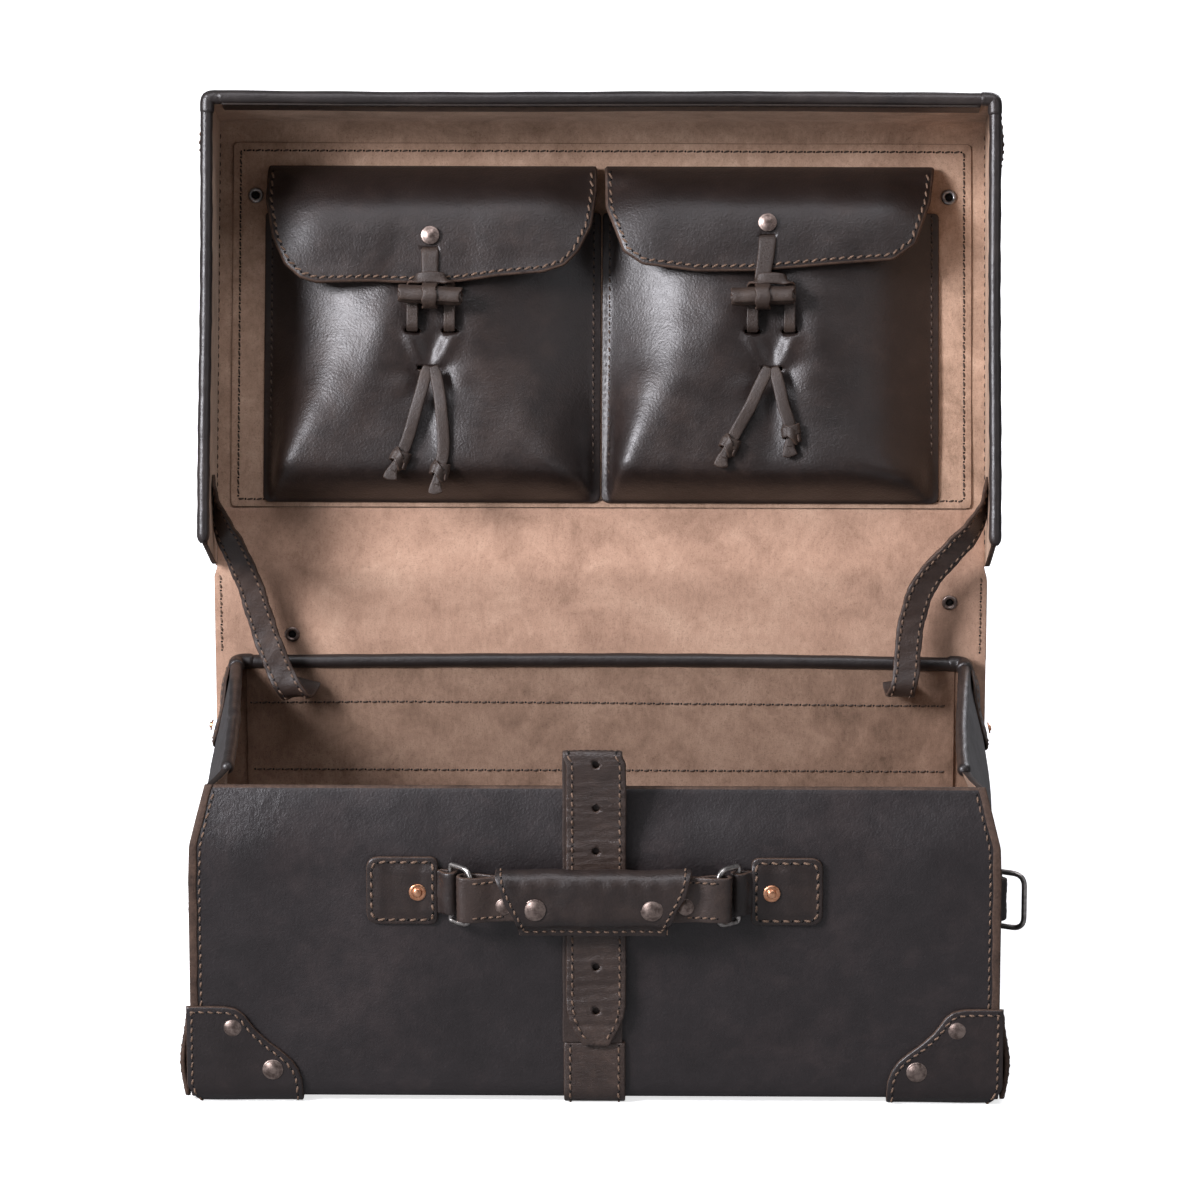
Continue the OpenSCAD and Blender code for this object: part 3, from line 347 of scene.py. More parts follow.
def spline(pts, step=1.0, closed=False):
    """Catmull-Rom curve through points, resampled evenly."""
    p = np.asarray(pts, dtype=float)
    n = len(p)
    out = []
    for i in range(n if closed else n - 1):
        p0 = p[(i - 1) % n] if closed or i > 0 else 2 * p[0] - p[1]
        p1, p2 = p[i], p[(i + 1) % n]
        p3 = p[(i + 2) % n] if closed or i + 2 < n else 2 * p[-1] - p[-2]
        for t in np.linspace(0, 1, 16, endpoint=False):
            out.append(0.5 * ((2 * p1) + (p2 - p0) * t + (2 * p0 - 5 * p1 + 4 * p2 - p3) * t * t
                              + (3 * p1 - p0 - 3 * p2 + p3) * t ** 3))
    if not closed:
        out.append(p[-1])
    return resample(out, step, closed)


def rounded(poly, r, n=6):
    """Polygon with its corners rounded; r is one radius or one for each corner."""
    p = np.asarray(poly, dtype=float)
    out = []
    for i in range(len(p)):
        ri = r[i] if isinstance(r, (list, tuple)) else r
        a, b, c = p[i - 1], p[i], p[(i + 1) % len(p)]
        if ri <= 0:
            out.append(b)
            continue
        u, v = (a - b), (c - b)
        lu, lv = np.linalg.norm(u), np.linalg.norm(v)
        u, v = u / lu, v / lv
        half = math.acos(max(-1, min(1, float(u @ v)))) / 2
        d = min(ri / max(math.tan(half), 1e-3), lu * 0.49, lv * 0.49)
        s, e = b + u * d, b + v * d
        for t in np.linspace(0, 1, n + 1):
            out.append((1 - t) ** 2 * s + 2 * t * (1 - t) * b + t * t * e)
    return np.array(out)


def inside(pts, poly):
    x, y = pts[:, 0], pts[:, 1]
    r = np.zeros(len(pts), dtype=bool)
    q = np.roll(poly, 1, axis=0)
    for (x1, y1), (x2, y2) in zip(poly, q):
        c = (y1 > y) != (y2 > y)
        if y1 != y2:
            r ^= c & (x < (x2 - x1) * (y - y1) / (y2 - y1) + x1)
    return r


def near(pts, poly, d):
    """True where a point is closer than d to a polygon's points."""
    out = np.zeros(len(pts), dtype=bool)
    for i in range(0, len(pts), 4000):
        s = pts[i:i + 4000]
        out[i:i + 4000] = (np.linalg.norm(s[:, None] - poly[None], axis=2) < d).any(1)
    return out


def inset(poly, d):
    a = np.roll(poly, 1, axis=0)
    b = np.roll(poly, -1, axis=0)
    e1 = poly - a
    e2 = b - poly
    n1 = np.stack([-e1[:, 1], e1[:, 0]], 1) / (np.linalg.norm(e1, axis=1)[:, None] + 1e-9)
    n2 = np.stack([-e2[:, 1], e2[:, 0]], 1) / (np.linalg.norm(e2, axis=1)[:, None] + 1e-9)
    n = n1 + n2
    n /= np.linalg.norm(n, axis=1)[:, None] + 1e-9
    k = 1 / np.clip((n * n1).sum(1), 0.6, 1)
    return poly + n * (d * k)[:, None]


def panel(name, outline, f, t, mats, grid=5.0, edge_r=0.7, step=2.0, holes=(), body="case",
          extra=None, put=None, back=None):
    """A piece of leather cut to an outline (in mm) and laid by f(u, v, h) -> metres.
    mats are (face, cut edge, back)."""
    o = resample(outline, step, True)
    if ((o[:, 0] * np.roll(o[:, 1], -1)) - (np.roll(o[:, 0], -1) * o[:, 1])).sum() < 0:
        o = o[::-1]
    r = min(edge_r, t * 0.95)
    rings = [(0.0, 0.0), (0.0, t - r), (0.3 * r, t - 0.3 * r), (r, t)]
    lo, hi = o.min(0), o.max(0)
    gx, gy = np.meshgrid(np.arange(lo[0], hi[0], grid), np.arange(lo[1], hi[1], grid))
    gx[1::2] += grid / 2
    g = np.stack([gx.ravel(), gy.ravel()], 1)
    if extra is not None:
        g = np.vstack([g, extra])
    inner = inset(o, r)
    g = g[inside(g, inner)]
    g = g[~near(g, inner, min(grid * 0.5, max(step * 0.7, 0.8)))]
    hs = [resample(h, max(0.4, step * 0.4), True) for h in holes]
    for h in hs:
        g = g[~inside(g, h)]
        if len(g):
            g = g[~near(g, h, 0.6)]
    pts = [inner] + hs + [g]
    n0 = len(inner)
    edges = [(i, (i + 1) % n0) for i in range(n0)]
    k = n0
    for h in hs:
        edges += [(k + i, k + (i + 1) % len(h)) for i in range(len(h))]
        k += len(h)
    allp = np.concatenate(pts)
    res = delaunay_2d_cdt([Vector(p) for p in allp], edges, [list(range(n0))], 1, 1e-5)
    rv, rf, orig = res[0], res[2], res[3]
    pos = np.array([[v.x, v.y] for v in rv])
    back_to = {}
    for i, src in enumerate(orig):
        for j in src:
            back_to[j] = i
    tris = [list(tri) for tri in rf]
    if hs:
        mid = np.array([pos[tri].mean(0) for tri in tris])
        gone = np.zeros(len(tris), dtype=bool)
        for h in hs:
            gone |= inside(mid, h)
        tris = [tri for tri, out in zip(tris, gone) if not out]
    np_ = len(pos)
    verts = [f(pos[:, 0], pos[:, 1], np.full(np_, t)), f(pos[:, 0], pos[:, 1], np.zeros(np_))]
    faces = [list(q) for q in tris] + [[i + np_ for i in reversed(q)] for q in tris]
    midx = [0] * len(tris) + [2] * len(tris)
    base = 2 * np_
    ring_at = []
    for d, h in rings[:-1]:
        q = inset(o, d) if d else o
        verts.append(f(q[:, 0], q[:, 1], np.full(len(q), h)))
        ring_at.append([base + i for i in range(len(q))])
        base += len(q)
    ring_at.append([back_to[i] for i in range(n0)])
    low = [back_to[i] + np_ for i in range(n0)]
    n = len(o)
    for a, b, mt in ((low, ring_at[0], 2), (ring_at[0], ring_at[1], 1), (ring_at[1], ring_at[2], 1),
                     (ring_at[2], ring_at[3], 1 if edge_r > 1.4 else 0)):
        for i in range(n):
            j = (i + 1) % n
            faces.append([a[i], a[j], b[j], b[i]])
            midx.append(mt)
    k = n0
    for h in hs:
        m = len(h)
        for i in range(m):
            a, b = back_to[k + i], back_to[k + (i + 1) % m]
            faces.append([a, b, b + np_, a + np_])
            midx.append(1)
        k += m
    if put is not None:
        put.put(np.concatenate(verts), faces, midx)
        return None
    return add(name, np.concatenate(verts), faces, mats, midx, body)


def tube(path, r, sides=16, closed=False, m=None, mat=0, flat=1.0, up=(0, 0, 1), radii=None):
    """Round bar along a path in mm; returns verts in metres and faces."""
    p = np.asarray(path, dtype=float)
    n = len(p)
    if closed:
        t = np.roll(p, -1, 0) - np.roll(p, 1, 0)
    else:
        t = np.gradient(p, axis=0)
    t /= np.linalg.norm(t, axis=1)[:, None] + 1e-12
    u = np.asarray(up, dtype=float)
    if abs(float(u @ t[0])) > 0.9:
        u = np.array([1.0, 0.0, 0.0])
    vs = []
    for i in range(n):
        u = u - t[i] * float(u @ t[i])
        u /= np.linalg.norm(u)
        w = np.cross(t[i], u)
        a = np.arange(sides) * 2 * PI / sides
        rr = r if radii is None else radii[i]
        vs.append(p[i] + (np.cos(a)[:, None] * u * flat + np.sin(a)[:, None] * w) * rr)
    v = np.concatenate(vs) * MM
    f = []
    for i in range(n if closed else n - 1):
        j = (i + 1) % n
        for k in range(sides):
            k2 = (k + 1) % sides
            f.append([i * sides + k, i * sides + k2, j * sides + k2, j * sides + k])
    if not closed:
        f.append([k for k in range(sides - 1, -1, -1)])
        f.append([(n - 1) * sides + k for k in range(sides)])
    if m is not None:
        m.put(v, f, mat)
    return v, f


def lathe(m, profile, centre, axis, mat=0, sides=40):
    """Turns (radius, height) points round an axis from a centre in metres; heights in mm."""
    ax = Vector(axis).normalized()
    u = ax.orthogonal().normalized()
    w = ax.cross(u)
    c, u, w, ax = (np.array(q) for q in (centre, u, w, ax))
    a = np.arange(sides) * 2 * PI / sides
    ring = np.cos(a)[:, None] * u + np.sin(a)[:, None] * w
    v = np.concatenate([c + ring * r * MM + ax * h * MM for r, h in profile])
    f = []
    for i in range(len(profile) - 1):
        for k in range(sides):
            k2 = (k + 1) % sides
            f.append([i * sides + k, i * sides + k2, (i + 1) * sides + k2, (i + 1) * sides + k])
    f.append([k for k in range(sides - 1, -1, -1)])
    f.append([(len(profile) - 1) * sides + k for k in range(sides)])
    m.put(v, f, mat)


def place(f, u, v, h=0.0, e=0.4):
    """Point and outward normal of a mapping at (u, v, h)."""
    q = f(np.array([u, u + e, u]), np.array([v, v, v + e]), np.full(3, float(h)))
    n = np.cross(q[1] - q[0], q[2] - q[0])
    n /= np.linalg.norm(n)
    up = f(np.array([u]), np.array([v]), np.array([h + 1.0]))[0] - q[0]
    return q[0], n if n @ up > 0 else -n


def stitches(m, f, line, h=0.0, pitch=6.0, length=4.5, r=0.62, lean=0.10, closed=False, thread=0, pit_shade_slot=1, seed=1,
             pit_shade_discs=True, sink=0.12):
    """Sewn thread along a line on a mapping, with a near-black disc between each two stitches as painted shade of the
    stitch hole.
    """
    rnd = random.Random(seed)
    p = resample(line, 0.5, closed)
    if closed:
        p = np.vstack([p, p[:1]])
    d = np.r_[0, np.cumsum(np.linalg.norm(np.diff(p, axis=0), axis=1))]
    n = max(1, int(round(d[-1] / pitch)))
    real = d[-1] / n
    ts = np.linspace(-0.5, 0.5, 7)
    rad = np.array([0.45, 0.85, 1.0, 1.05, 1.0, 0.85, 0.45]) * r
    lift = np.array([-0.85, -0.15, 0.3, 0.42, 0.3, -0.15, -0.85]) * r - sink * r
    sides = 7
    ang = np.arange(sides) * 2 * PI / sides
    U, V, H, C = [], [], [], []
    for i in range(n):
        mid = (i + 0.5) * real
        ln = length / pitch * real * rnd.uniform(0.93, 1.05)
        at = mid + ts * ln
        x = np.interp(at, d, p[:, 0])
        y = np.interp(at, d, p[:, 1])
        tx, ty = x[-1] - x[0], y[-1] - y[0]
        L = math.hypot(tx, ty) + 1e-9
        k = lean * ln * rnd.uniform(0.6, 1.4)
        x = x + (-ty / L) * ts * 2 * k
        y = y + (tx / L) * ts * 2 * k
        U.append(x); V.append(y); H.append(np.full(7, h) + lift)
        C.append((np.interp(i * real, d, p[:, 0]), np.interp(i * real, d, p[:, 1])))
    U, V, H = map(np.concatenate, (U, V, H))
    P = f(U, V, H)
    Pu = f(U, V, H + 1.0) - P
    Pu /= np.linalg.norm(Pu, axis=1)[:, None]
    P3 = P.reshape(n, 7, 3)
    T = np.gradient(P3, axis=1).reshape(-1, 3)
    T /= np.linalg.norm(T, axis=1)[:, None] + 1e-12
    W = np.cross(T, Pu)
    W /= np.linalg.norm(W, axis=1)[:, None] + 1e-12
    R = np.tile(rad, n) * MM
    ring = P[:, None] + (np.cos(ang)[None, :, None] * W[:, None] + np.sin(ang)[None, :, None] * Pu[:, None]) * R[:, None, None]
    faces = []
    for i in range(n):
        b = i * 7 * sides
        for s in range(6):
            for k in range(sides):
                k2 = (k + 1) % sides
                faces.append([b + s * sides + k, b + s * sides + k2, b + (s + 1) * sides + k2, b + (s + 1) * sides + k])
        faces.append([b + k for k in range(sides - 1, -1, -1)])
        faces.append([b + 6 * sides + k for k in range(sides)])
    m.put(ring.reshape(-1, 3), faces, thread)
    # a near-black disc at each stitch hole: painted shade of the hole
    if pit_shade_discs:
        C = np.array(C)
        a = np.arange(8) * 2 * PI / 8
        pr = r * 1.15
        u = C[:, None, 0] + np.cos(a)[None] * pr
        v = C[:, None, 1] + np.sin(a)[None] * pr
        q = f(u.ravel(), v.ravel(), np.full(u.size, h + 0.05))
        tip = f(C[:, 0], C[:, 1], np.full(len(C), h - 0.5))
        low = len(q)
        m.put(np.concatenate([q, tip]), [[i * 8 + k for k in range(8)] for i in range(len(C))]
              + [[i * 8 + k, i * 8 + (k + 1) % 8, low + i] for i in range(len(C)) for k in range(8)], pit_shade_slot)


def ribbon(path, wide, thick, n_hint=None):
    """Mapping of a strap along a path in mm. u is the length along it, v across, h from its back."""
    p = np.asarray(path, dtype=float)
    d = np.r_[0, np.cumsum(np.linalg.norm(np.diff(p, axis=0), axis=1))]
    t = np.gradient(p, axis=0)
    t /= np.linalg.norm(t, axis=1)[:, None]
    w = np.asarray(wide, dtype=float)
    if w.ndim == 1:
        w = np.tile(w, (len(p), 1))
    w = w - t * (w * t).sum(1)[:, None]
    w /= np.linalg.norm(w, axis=1)[:, None]
    nrm = np.cross(t, w)

    def f(u, v, h):
        P = np.stack([np.interp(u, d, p[:, k]) for k in range(3)], 1)
        W = np.stack([np.interp(u, d, w[:, k]) for k in range(3)], 1)
        N = np.stack([np.interp(u, d, nrm[:, k]) for k in range(3)], 1)
        return (P + W * v[:, None] + N * (h - thick / 2)[:, None]) * MM
    return f, d[-1]


def spread(keys, n):
    """Interpolates rows given at places from 0 to 1 into n rows."""
    k = np.array([a for a, _ in keys])
    v = np.array([b for _, b in keys], dtype=float)
    t = np.linspace(0, 1, n)
    return np.stack([np.interp(t, k, v[:, i]) for i in range(v.shape[1])], 1)


DOME = [(0.0, 0.0)]


def dome_profile(r, h):
    ball = (r * r + h * h) / (2 * h)
    pts = [(r * 0.98, 0.0), (r, 0.35)]
    for t in np.linspace(0.94, 0.0, 9):
        x = r * t
        pts.append((max(x, 0.05), h - ball + math.sqrt(max(ball * ball - x * x, 0))))
    return [(a, max(b, 0.35) if a > r * 0.9 else b) for a, b in pts]


def dome(m, f, u, v, h, r=6.2, high=2.2, mat=0):
    c, n = place(f, u, v, h)
    lathe(m, [(r * 1.04, -0.4), (r * 1.04, 0.3)] + dome_profile(r, high)[2:], c, n, mat)


def burr(m, f, u, v, h, mat=0, k=1.0):
    c, n = place(f, u, v, h)
    prof = [(5.3, -0.3), (5.3, 0.7), (5.0, 1.05), (3.4, 1.15), (3.1, 0.95), (2.9, 1.2), (2.75, 2.0), (2.3, 2.45),
            (1.2, 2.7), (0.1, 2.75)]
    lathe(m, [(a * k, b * k) for a, b in prof], c, n, mat)


def ring_rivet(m, f, u, v, h, mat=0, hole_shade_slot=1):
    c, n = place(f, u, v, h)
    lathe(m, [(5.0, -0.2), (5.1, 0.3), (4.7, 0.95), (3.9, 1.25), (3.1, 1.15), (2.6, 0.6), (2.4, -0.1)], c, n, mat)
    # near-black disc in the rivet's hollow: painted shade of the hole
    lathe(m, [(2.45, -0.3), (2.45, 0.0), (0.1, 0.0)], c, n, hole_shade_slot, 20)


# ---------------------------------------------------------------- mappings of the case (mm)

def profile_map(path, normal_side=1.0):
    """Mapping of a profile of (y, z) points swept along X: u is x, v the length along the profile."""
    p = resample(path, 0.5)
    d = np.r_[0, np.cumsum(np.linalg.norm(np.diff(p, axis=0), axis=1))]
    t = np.gradient(p, axis=0)
    t /= np.linalg.norm(t, axis=1)[:, None]
    nr = np.stack([t[:, 1], -t[:, 0]], 1) * normal_side
    return p, d, nr


def arc(c, r, a0, a1, n=10):
    return [(c[0] + r * math.cos(math.radians(a)), c[1] + r * math.sin(math.radians(a)))
            for a in np.linspace(a0, a1, n)]


wrap_path = ([(-128.0, 203.0)] + [tuple(q) for q in spline([(-132.6, 190.0), (-136.4, 178.5), (-138.9, 168.5), (-140.0, 157.0), (-140, 145)], 2)]
             + arc((-134, 9), 6, 180, 270) + arc((134, 9), 6, -90, 0) + [(140, 205)])
wp, wd, wn = profile_map(wrap_path)
WRAP_LEN = wd[-1]


def wrap_swell(x, v):
    """Small swells of the front; none where the caps, belt and rim are sewn."""
    fade = smooth((238 - np.abs(x)) / 40) * smooth(v / 14) * smooth((190 - v) / 40)
    return fade * (wob(x, v, 3, 150, 0.85) + wob(x, v, 4, 60, 0.22))


def f_wrap(u, v, h):
    y = np.interp(v, wd, wp[:, 0])
    z = np.interp(v, wd, wp[:, 1])
    ny = np.interp(v, wd, wn[:, 0])
    nz = np.interp(v, wd, wn[:, 1])
    hh = h + wrap_swell(u, v)
    return np.stack([u, y + ny * hh, z + nz * hh], 1) * MM


def wrap_v(z, front=True):
    """Length along the wrap at which the front (or rear) face is at height z."""
    half = len(wp) // 2
    if front:
        return float(np.interp(-z, -wp[:half, 1], wd[:half]))
    return float(np.interp(z, wp[half:, 1], wd[half:]))


def rim_half(y):
    """Half of the width of the body at its rim, to the outside of the ends."""
    yy = np.array([-128.0, -116, -103, -60, -10, 40, 90, 135, 142])
    xx = np.array([240.0, 235.5, 231.5, 232.0, 233.5, 236.0, 238.5, 240.5, 240.5])
    return np.interp(y, yy, xx)


def end_x(y, z):
    k = np.clip((z - 158.0) / 47.0, 0, 1.2)
    k = np.where(z < 166, (np.clip(z - 150, 0, 16) ** 2) / (2 * 16 * 47.0) * 1.0, (z - 158.0) / 47.0)
    return 250.0 - (250.0 - rim_half(y)) * np.clip(k, 0, 1.15)


def f_end(side):
    def f(u, v, h):
        swell = wob(u, v, 8 + side, 110, 0.6) * smooth((128 - np.abs(u)) / 40)
        return np.stack([side * (end_x(u, v) + h + swell), u, v], 1) * MM
    return f


# lid: s from the hinge line to the front wall, w out of the panel
HY, HZ, LEAN = 141.75, 266.0, math.radians(20)


def lid_pt(x, s, w):
    return np.stack([x, HY + s * math.sin(LEAN) - w * math.cos(LEAN), HZ + s * math.cos(LEAN) + w * math.sin(LEAN)], 1) * MM


lid_path = [(2.8, -1.75)] + [(278 + 18 * math.sin(a), 16.25 - 18 * math.cos(a)) for a in np.linspace(0, PI / 2, 14)] + [(296, 91)]
lp = resample(lid_path, 0.5)
ld = np.r_[0, np.cumsum(np.linalg.norm(np.diff(lp, axis=0), axis=1))]
lt_ = np.gradient(lp, axis=0)
lt_ /= np.linalg.norm(lt_, axis=1)[:, None]
ln_ = np.stack([lt_[:, 1], -lt_[:, 0]], 1)
LID_LEN = ld[-1]


def f_lid(u, v, h):
    """Outside of the lid: h outwards from the outer skin."""
    s = np.interp(v, ld, lp[:, 0])
    w = np.interp(v, ld, lp[:, 1])
    ns = np.interp(v, ld, ln_[:, 0])
    nw = np.interp(v, ld, ln_[:, 1])
    return lid_pt(u, s + ns * h, w + nw * h)


def f_lidside(side):
    def f(u, v, h):
        return lid_pt(np.full_like(u, side) * (249.55 + h), u, v)
    return f


def f_level(w0, wave=0.0, seed=5):
    """Plane over the lid's panel: u is x, v is s."""
    def f(u, v, h):
        return lid_pt(u, v, w0 + h + (wob(u, v, seed, 120, wave) if wave else 0))
    return f


def rect(x0, y0, x1, y1, r=0.0):
    p = [(x0, y0), (x1, y0), (x1, y1), (x0, y1)]
    return rounded(p, r) if r else np.array(p, dtype=float)


# ---------------------------------------------------------------- cords: the thong ends

def lid3(pts):
    p = np.asarray(pts, dtype=float)
    return lid_pt(p[:, 0], p[:, 1], p[:, 2]) / MM


thongs = {
    "thong_left_a": [(-111.6, 129, 40.2), (-113.4, 122, 41.3), (-115.4, 114, 41.5), (-118, 105, 41.5),
                     (-120.4, 96, 41.6), (-123, 86, 41.7), (-126, 77, 41.8), (-130, 68, 42), (-134, 61, 42)],
    "thong_left_b": [(-108.2, 129, 40.2), (-106.2, 122, 41.3), (-104.6, 114, 41.7), (-103.2, 104, 41.8),
                     (-102.2, 94, 41.8), (-101.3, 84, 41.8), (-101.3, 74, 42), (-103, 64, 42), (-106, 52, 42)],
    "thong_right_a": [(108.2, 129, 40.2), (105.2, 122, 41.3), (101.4, 114, 41.6), (97, 104, 41.7),
                      (92, 95, 41.8), (87, 86, 41.9), (83, 78, 42), (79, 70, 42)],
    "thong_right_b": [(111.8, 129, 40.2), (113.8, 122, 41.3), (115.8, 114, 41.6), (118, 104, 41.8),
                      (121, 95, 42), (123, 86, 42), (122, 77, 42)],
}
for name, pts in thongs.items():
    p = spline(pts, 1.2)
    path = lid3(p)
    out = np.array([0.0, -math.cos(LEAN), math.sin(LEAN)])
    tan = np.gradient(path, axis=0)
    tan /= np.linalg.norm(tan, axis=1)[:, None]
    wide = np.cross(out, tan)
    wide /= np.linalg.norm(wide, axis=1)[:, None]
    thick = np.cross(tan, wide)
    sides = 16
    ang = (np.arange(sides) + 0.5) * 2 * PI / sides
    cu = np.sign(np.cos(ang)) * np.abs(np.cos(ang)) ** 0.35 * 4.0
    cv = np.sign(np.sin(ang)) * np.abs(np.sin(ang)) ** 0.7 * 1.2
    k = np.interp(np.arange(len(path)), [0, 4, len(path) - 14, len(path) - 9, len(path) - 1], [0.75, 1, 1, 0.62, 0.6])
    roll = 0.10 * np.sin(np.arange(len(path)) * 0.13 + len(name))
    verts, faces = [], []
    for q, w, h, kk, ro in zip(path, wide, thick, k, roll):
        w, h = w * math.cos(ro) + h * math.sin(ro), h * math.cos(ro) - w * math.sin(ro)
        verts.append(q + (cu * kk)[:, None] * w + cv[:, None] * h)
    verts = np.concatenate(verts) * MM
    for a in range(len(path) - 1):
        for b in range(sides):
            c = (b + 1) % sides
            faces.append([a * sides + b, a * sides + c, (a + 1) * sides + c, (a + 1) * sides + b])
    faces.append(list(range(sides - 1, -1, -1)))
    faces.append([(len(path) - 1) * sides + b for b in range(sides)])
    o = add(name + "_lace", verts, faces, [THONG], None, "lid")
    # the knot: the lace folded over itself twice, and its flared tip below
    f, L = ribbon(path, wide, 2.6)
    m = Mesh()
    k0 = L - 14.0
    turns = [[(k0 + 2.6 + 4.2 * (a / (2 * PI)), 5.6 * math.cos(a), 1.3 + 3.5 * math.sin(a)) for a in np.linspace(-0.6, 2 * PI + 0.8, 44)],
             [(k0 + 0.6 + 9.5 * a, -4.9 + 9.4 * a, 1.3 + 4.0 * math.sin(a * PI) + 0.4) for a in np.linspace(0, 1, 24)]]
    for pts3, strip_w in zip(turns, (6.6, 6.0)):
        a3 = np.array(pts3)
        w3 = f(a3[:, 0], a3[:, 1], a3[:, 2]) / MM
        along = tan[-10] + 0.0 * w3
        fl, LL = ribbon(w3, along, 1.8)
        panel("x", rect(0, -strip_w / 2, LL, strip_w / 2, 1.0), fl, 1.8, None, grid=1.7, edge_r=0.7, step=1.1, put=m)
    end = path[-1]
    side3, out3, tan3 = wide[-1], thick[-1], tan[-1]
    tp = np.array([end - tan3 * 9, end - tan3 * 5, end, end + tan3 * 3.5 + side3 * 0.8, end + tan3 * 6.0 + side3 * 1.8])
    tp = spline(tp, 0.8)
    ft, TL = ribbon(tp, side3, 2.2)
    panel("x", np.array([(0, -2.6), (TL * 0.45, -3.0), (TL - 1.5, -5.0), (TL + 0.6, -1.0), (TL - 0.6, 4.6), (TL * 0.45, 3.0), (0, 2.6)]),
          ft, 2.2, None, grid=1.7, edge_r=0.7, step=1.1, put=m)
    knot = m.make(name + "_knot", [THONG, EDGE, THONG], "lid", "brown_leather")
    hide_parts(name)

# ---------------------------------------------------------------- body: wrap, ends, rear lining, board

TOPH = 240.0


def half_w(v):
    return np.interp(v, [0, 18, 38, 60, WRAP_LEN - 60, WRAP_LEN - 45, WRAP_LEN], [240, 244.6, 249.5, 250.3, 250.3, 249.8, 240])


vv = np.r_[np.linspace(0, 60, 16), np.linspace(64, WRAP_LEN - 64, 60), np.linspace(WRAP_LEN - 60, WRAP_LEN, 16)]
wrap_outline = np.vstack([np.stack([half_w(vv), vv], 1), np.stack([-half_w(vv[::-1]), vv[::-1]], 1)])
wrap = panel("body_wrap_skin", wrap_outline, lambda u, v, h: f_wrap(u, v, h - 5.0), 5.0, [PANEL, EDGE, SUEDE_PAINTED_SHADE],
             grid=5.0, edge_r=2.2, step=3.0)
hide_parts("body_wrap")
m = Mesh()
burnish = Mesh()
for sx in (-1, 1):
    vs = np.linspace(5, wrap_v(3.2), 60)
    stitches(m, f_wrap, np.stack([sx * (half_w(vs) - 6.6), vs], 1), 0.0, seed=11 + sx)
    vs = np.linspace(0.2, wrap_v(3.2), 90)
    outer = half_w(vs) + 0.25
    inner_w = half_w(vs) - 4.9 + 0.25 * np.sin(vs * 0.21) + 0.2 * np.sin(vs * 0.057)
    strip = np.vstack([np.stack([sx * outer, vs], 1), np.stack([sx * inner_w, vs], 1)[::-1]])
    panel("x", strip, f_wrap, 0.8, None, grid=2.2, edge_r=0.7, step=1.6, put=burnish)
    vs = np.linspace(WRAP_LEN - 200, WRAP_LEN - 4, 60)
    stitches(m, f_wrap, np.stack([sx * (half_w(vs) - 4.6), vs], 1), 0.0, seed=21 + sx)
body_thread = m
burnish.make("front_edge_strips", [EDGE, EDGE, EDGE], "case", "brown_leather")

for side, nm in ((-1, "left"), (1, "right")):
    fe = f_end(side)
    ys = np.linspace(-128, 138, 40)
    top = 205 - 2.5 * smooth((-100 - ys) / 26)
    ol = [(139, 9), (139, 205)] + list(zip(ys[::-1], top[::-1])) + [(-132.6, 190), (-136.4, 178.5), (-139, 166), (-139.5, 150), (-139.5, 9)]
    ol = rounded(ol, [6, 0] + [0] * (len(ol) - 3) + [6])
    o = panel("end_" + nm, ol, lambda u, v, h, fe=fe: fe(u, v, h - 5.5), 5.5, [LEATHER, EDGE_DARK, SUEDE_PAINTED_SHADE], grid=6.0,
              edge_r=1.2, step=3.0)
    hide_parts("end_panel_" + nm)

rear = panel("rear_wall_suede", rect(-231, 11, 231, 203.5), lambda u, v, h: np.stack([u, 135.2 - h + wob(u, v, 31, 130, 0.5), v], 1) * MM,
             1.5, [SUEDE_PAINTED_SHADE, EDGE, SUEDE_PAINTED_SHADE], grid=7, step=4)
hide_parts("rear_lining")
f_rear = lambda u, v, h: np.stack([u, 133.7 - h + wob(u, v, 31, 130, 0.5), v], 1) * MM
stitches(body_thread, f_rear, [(-226, 133), (226, 133)], 0.0, thread=2, seed=31)
stitches(body_thread, f_rear, [(-228, 178.5), (-120, 179.5), (60, 178.5), (226, 177.5)], 0.0, thread=2, seed=32)

# piping round the rim
m = Mesh()


def pipe_x(y):
    return rim_half(y) - 3.4


left = [(-pipe_x(y) + 0.8 * math.exp(-((y - 6) / 9) ** 2), y, 205.0 - 0.9 * math.exp(-((y - 6) / 7) ** 2)) for y in np.linspace(-103, 128, 60)]
right = [(pipe_x(y), y, 205.0 + 0.4 * math.sin(y / 30)) for y in np.linspace(-103, 128, 60)]
for run in (left, right):
    p = resample(run, 2.0)
    rr = 4.1 + 0.12 * np.sin(np.arange(len(p)) * 0.55) + 0.1 * np.sin(np.arange(len(p)) * 0.21 + 1)
    rr[0] *= 0.55
    rr[1] *= 0.9
    tube(p, 4.1, 18, m=m, radii=rr)
back_rim = [(x, 135.4 + 0.5 * math.sin(x / 60), 206.0 + 2.2 * math.cos(x / 235 * PI / 2) - 0.6) for x in np.linspace(-229, 229, 90)]
p = resample(back_rim, 3.0)
tube(p, 4.5, 18, m=m, radii=4.5 + 0.12 * np.sin(np.arange(len(p)) * 0.4))
for sx in (-1, 1):
    corner = spline([(sx * 226, 135.6, 205.8), (sx * 233.5, 135.2, 205.8), (sx * 237.0, 131.5, 205.6), (sx * 236.3, 124, 205.2)], 1.0)
    tube(corner, 5.0, 18, m=m, radii=np.interp(np.arange(len(corner)), [0, 2, len(corner) - 3, len(corner) - 1], [4.2, 5.1, 5.1, 4.2]))
o = m.make("rim_piping", [PIPE], "case", "leather")
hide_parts("body_piping")

# ---------------------------------------------------------------- corner caps and their rivets

CAP_T = 3.0
# outline of a front lobe: distance from the corner, height above the base
cap_shape = [(0.0, 63.0), (12, 63.2), (24, 63.0), (31, 61.6), (36, 57.8), (39.5, 52.5), (43.5, 47.3), (51, 40.2), (59, 34.0),
             (65, 28.6), (69, 22.6), (71.4, 15.5), (72, 8.0)]


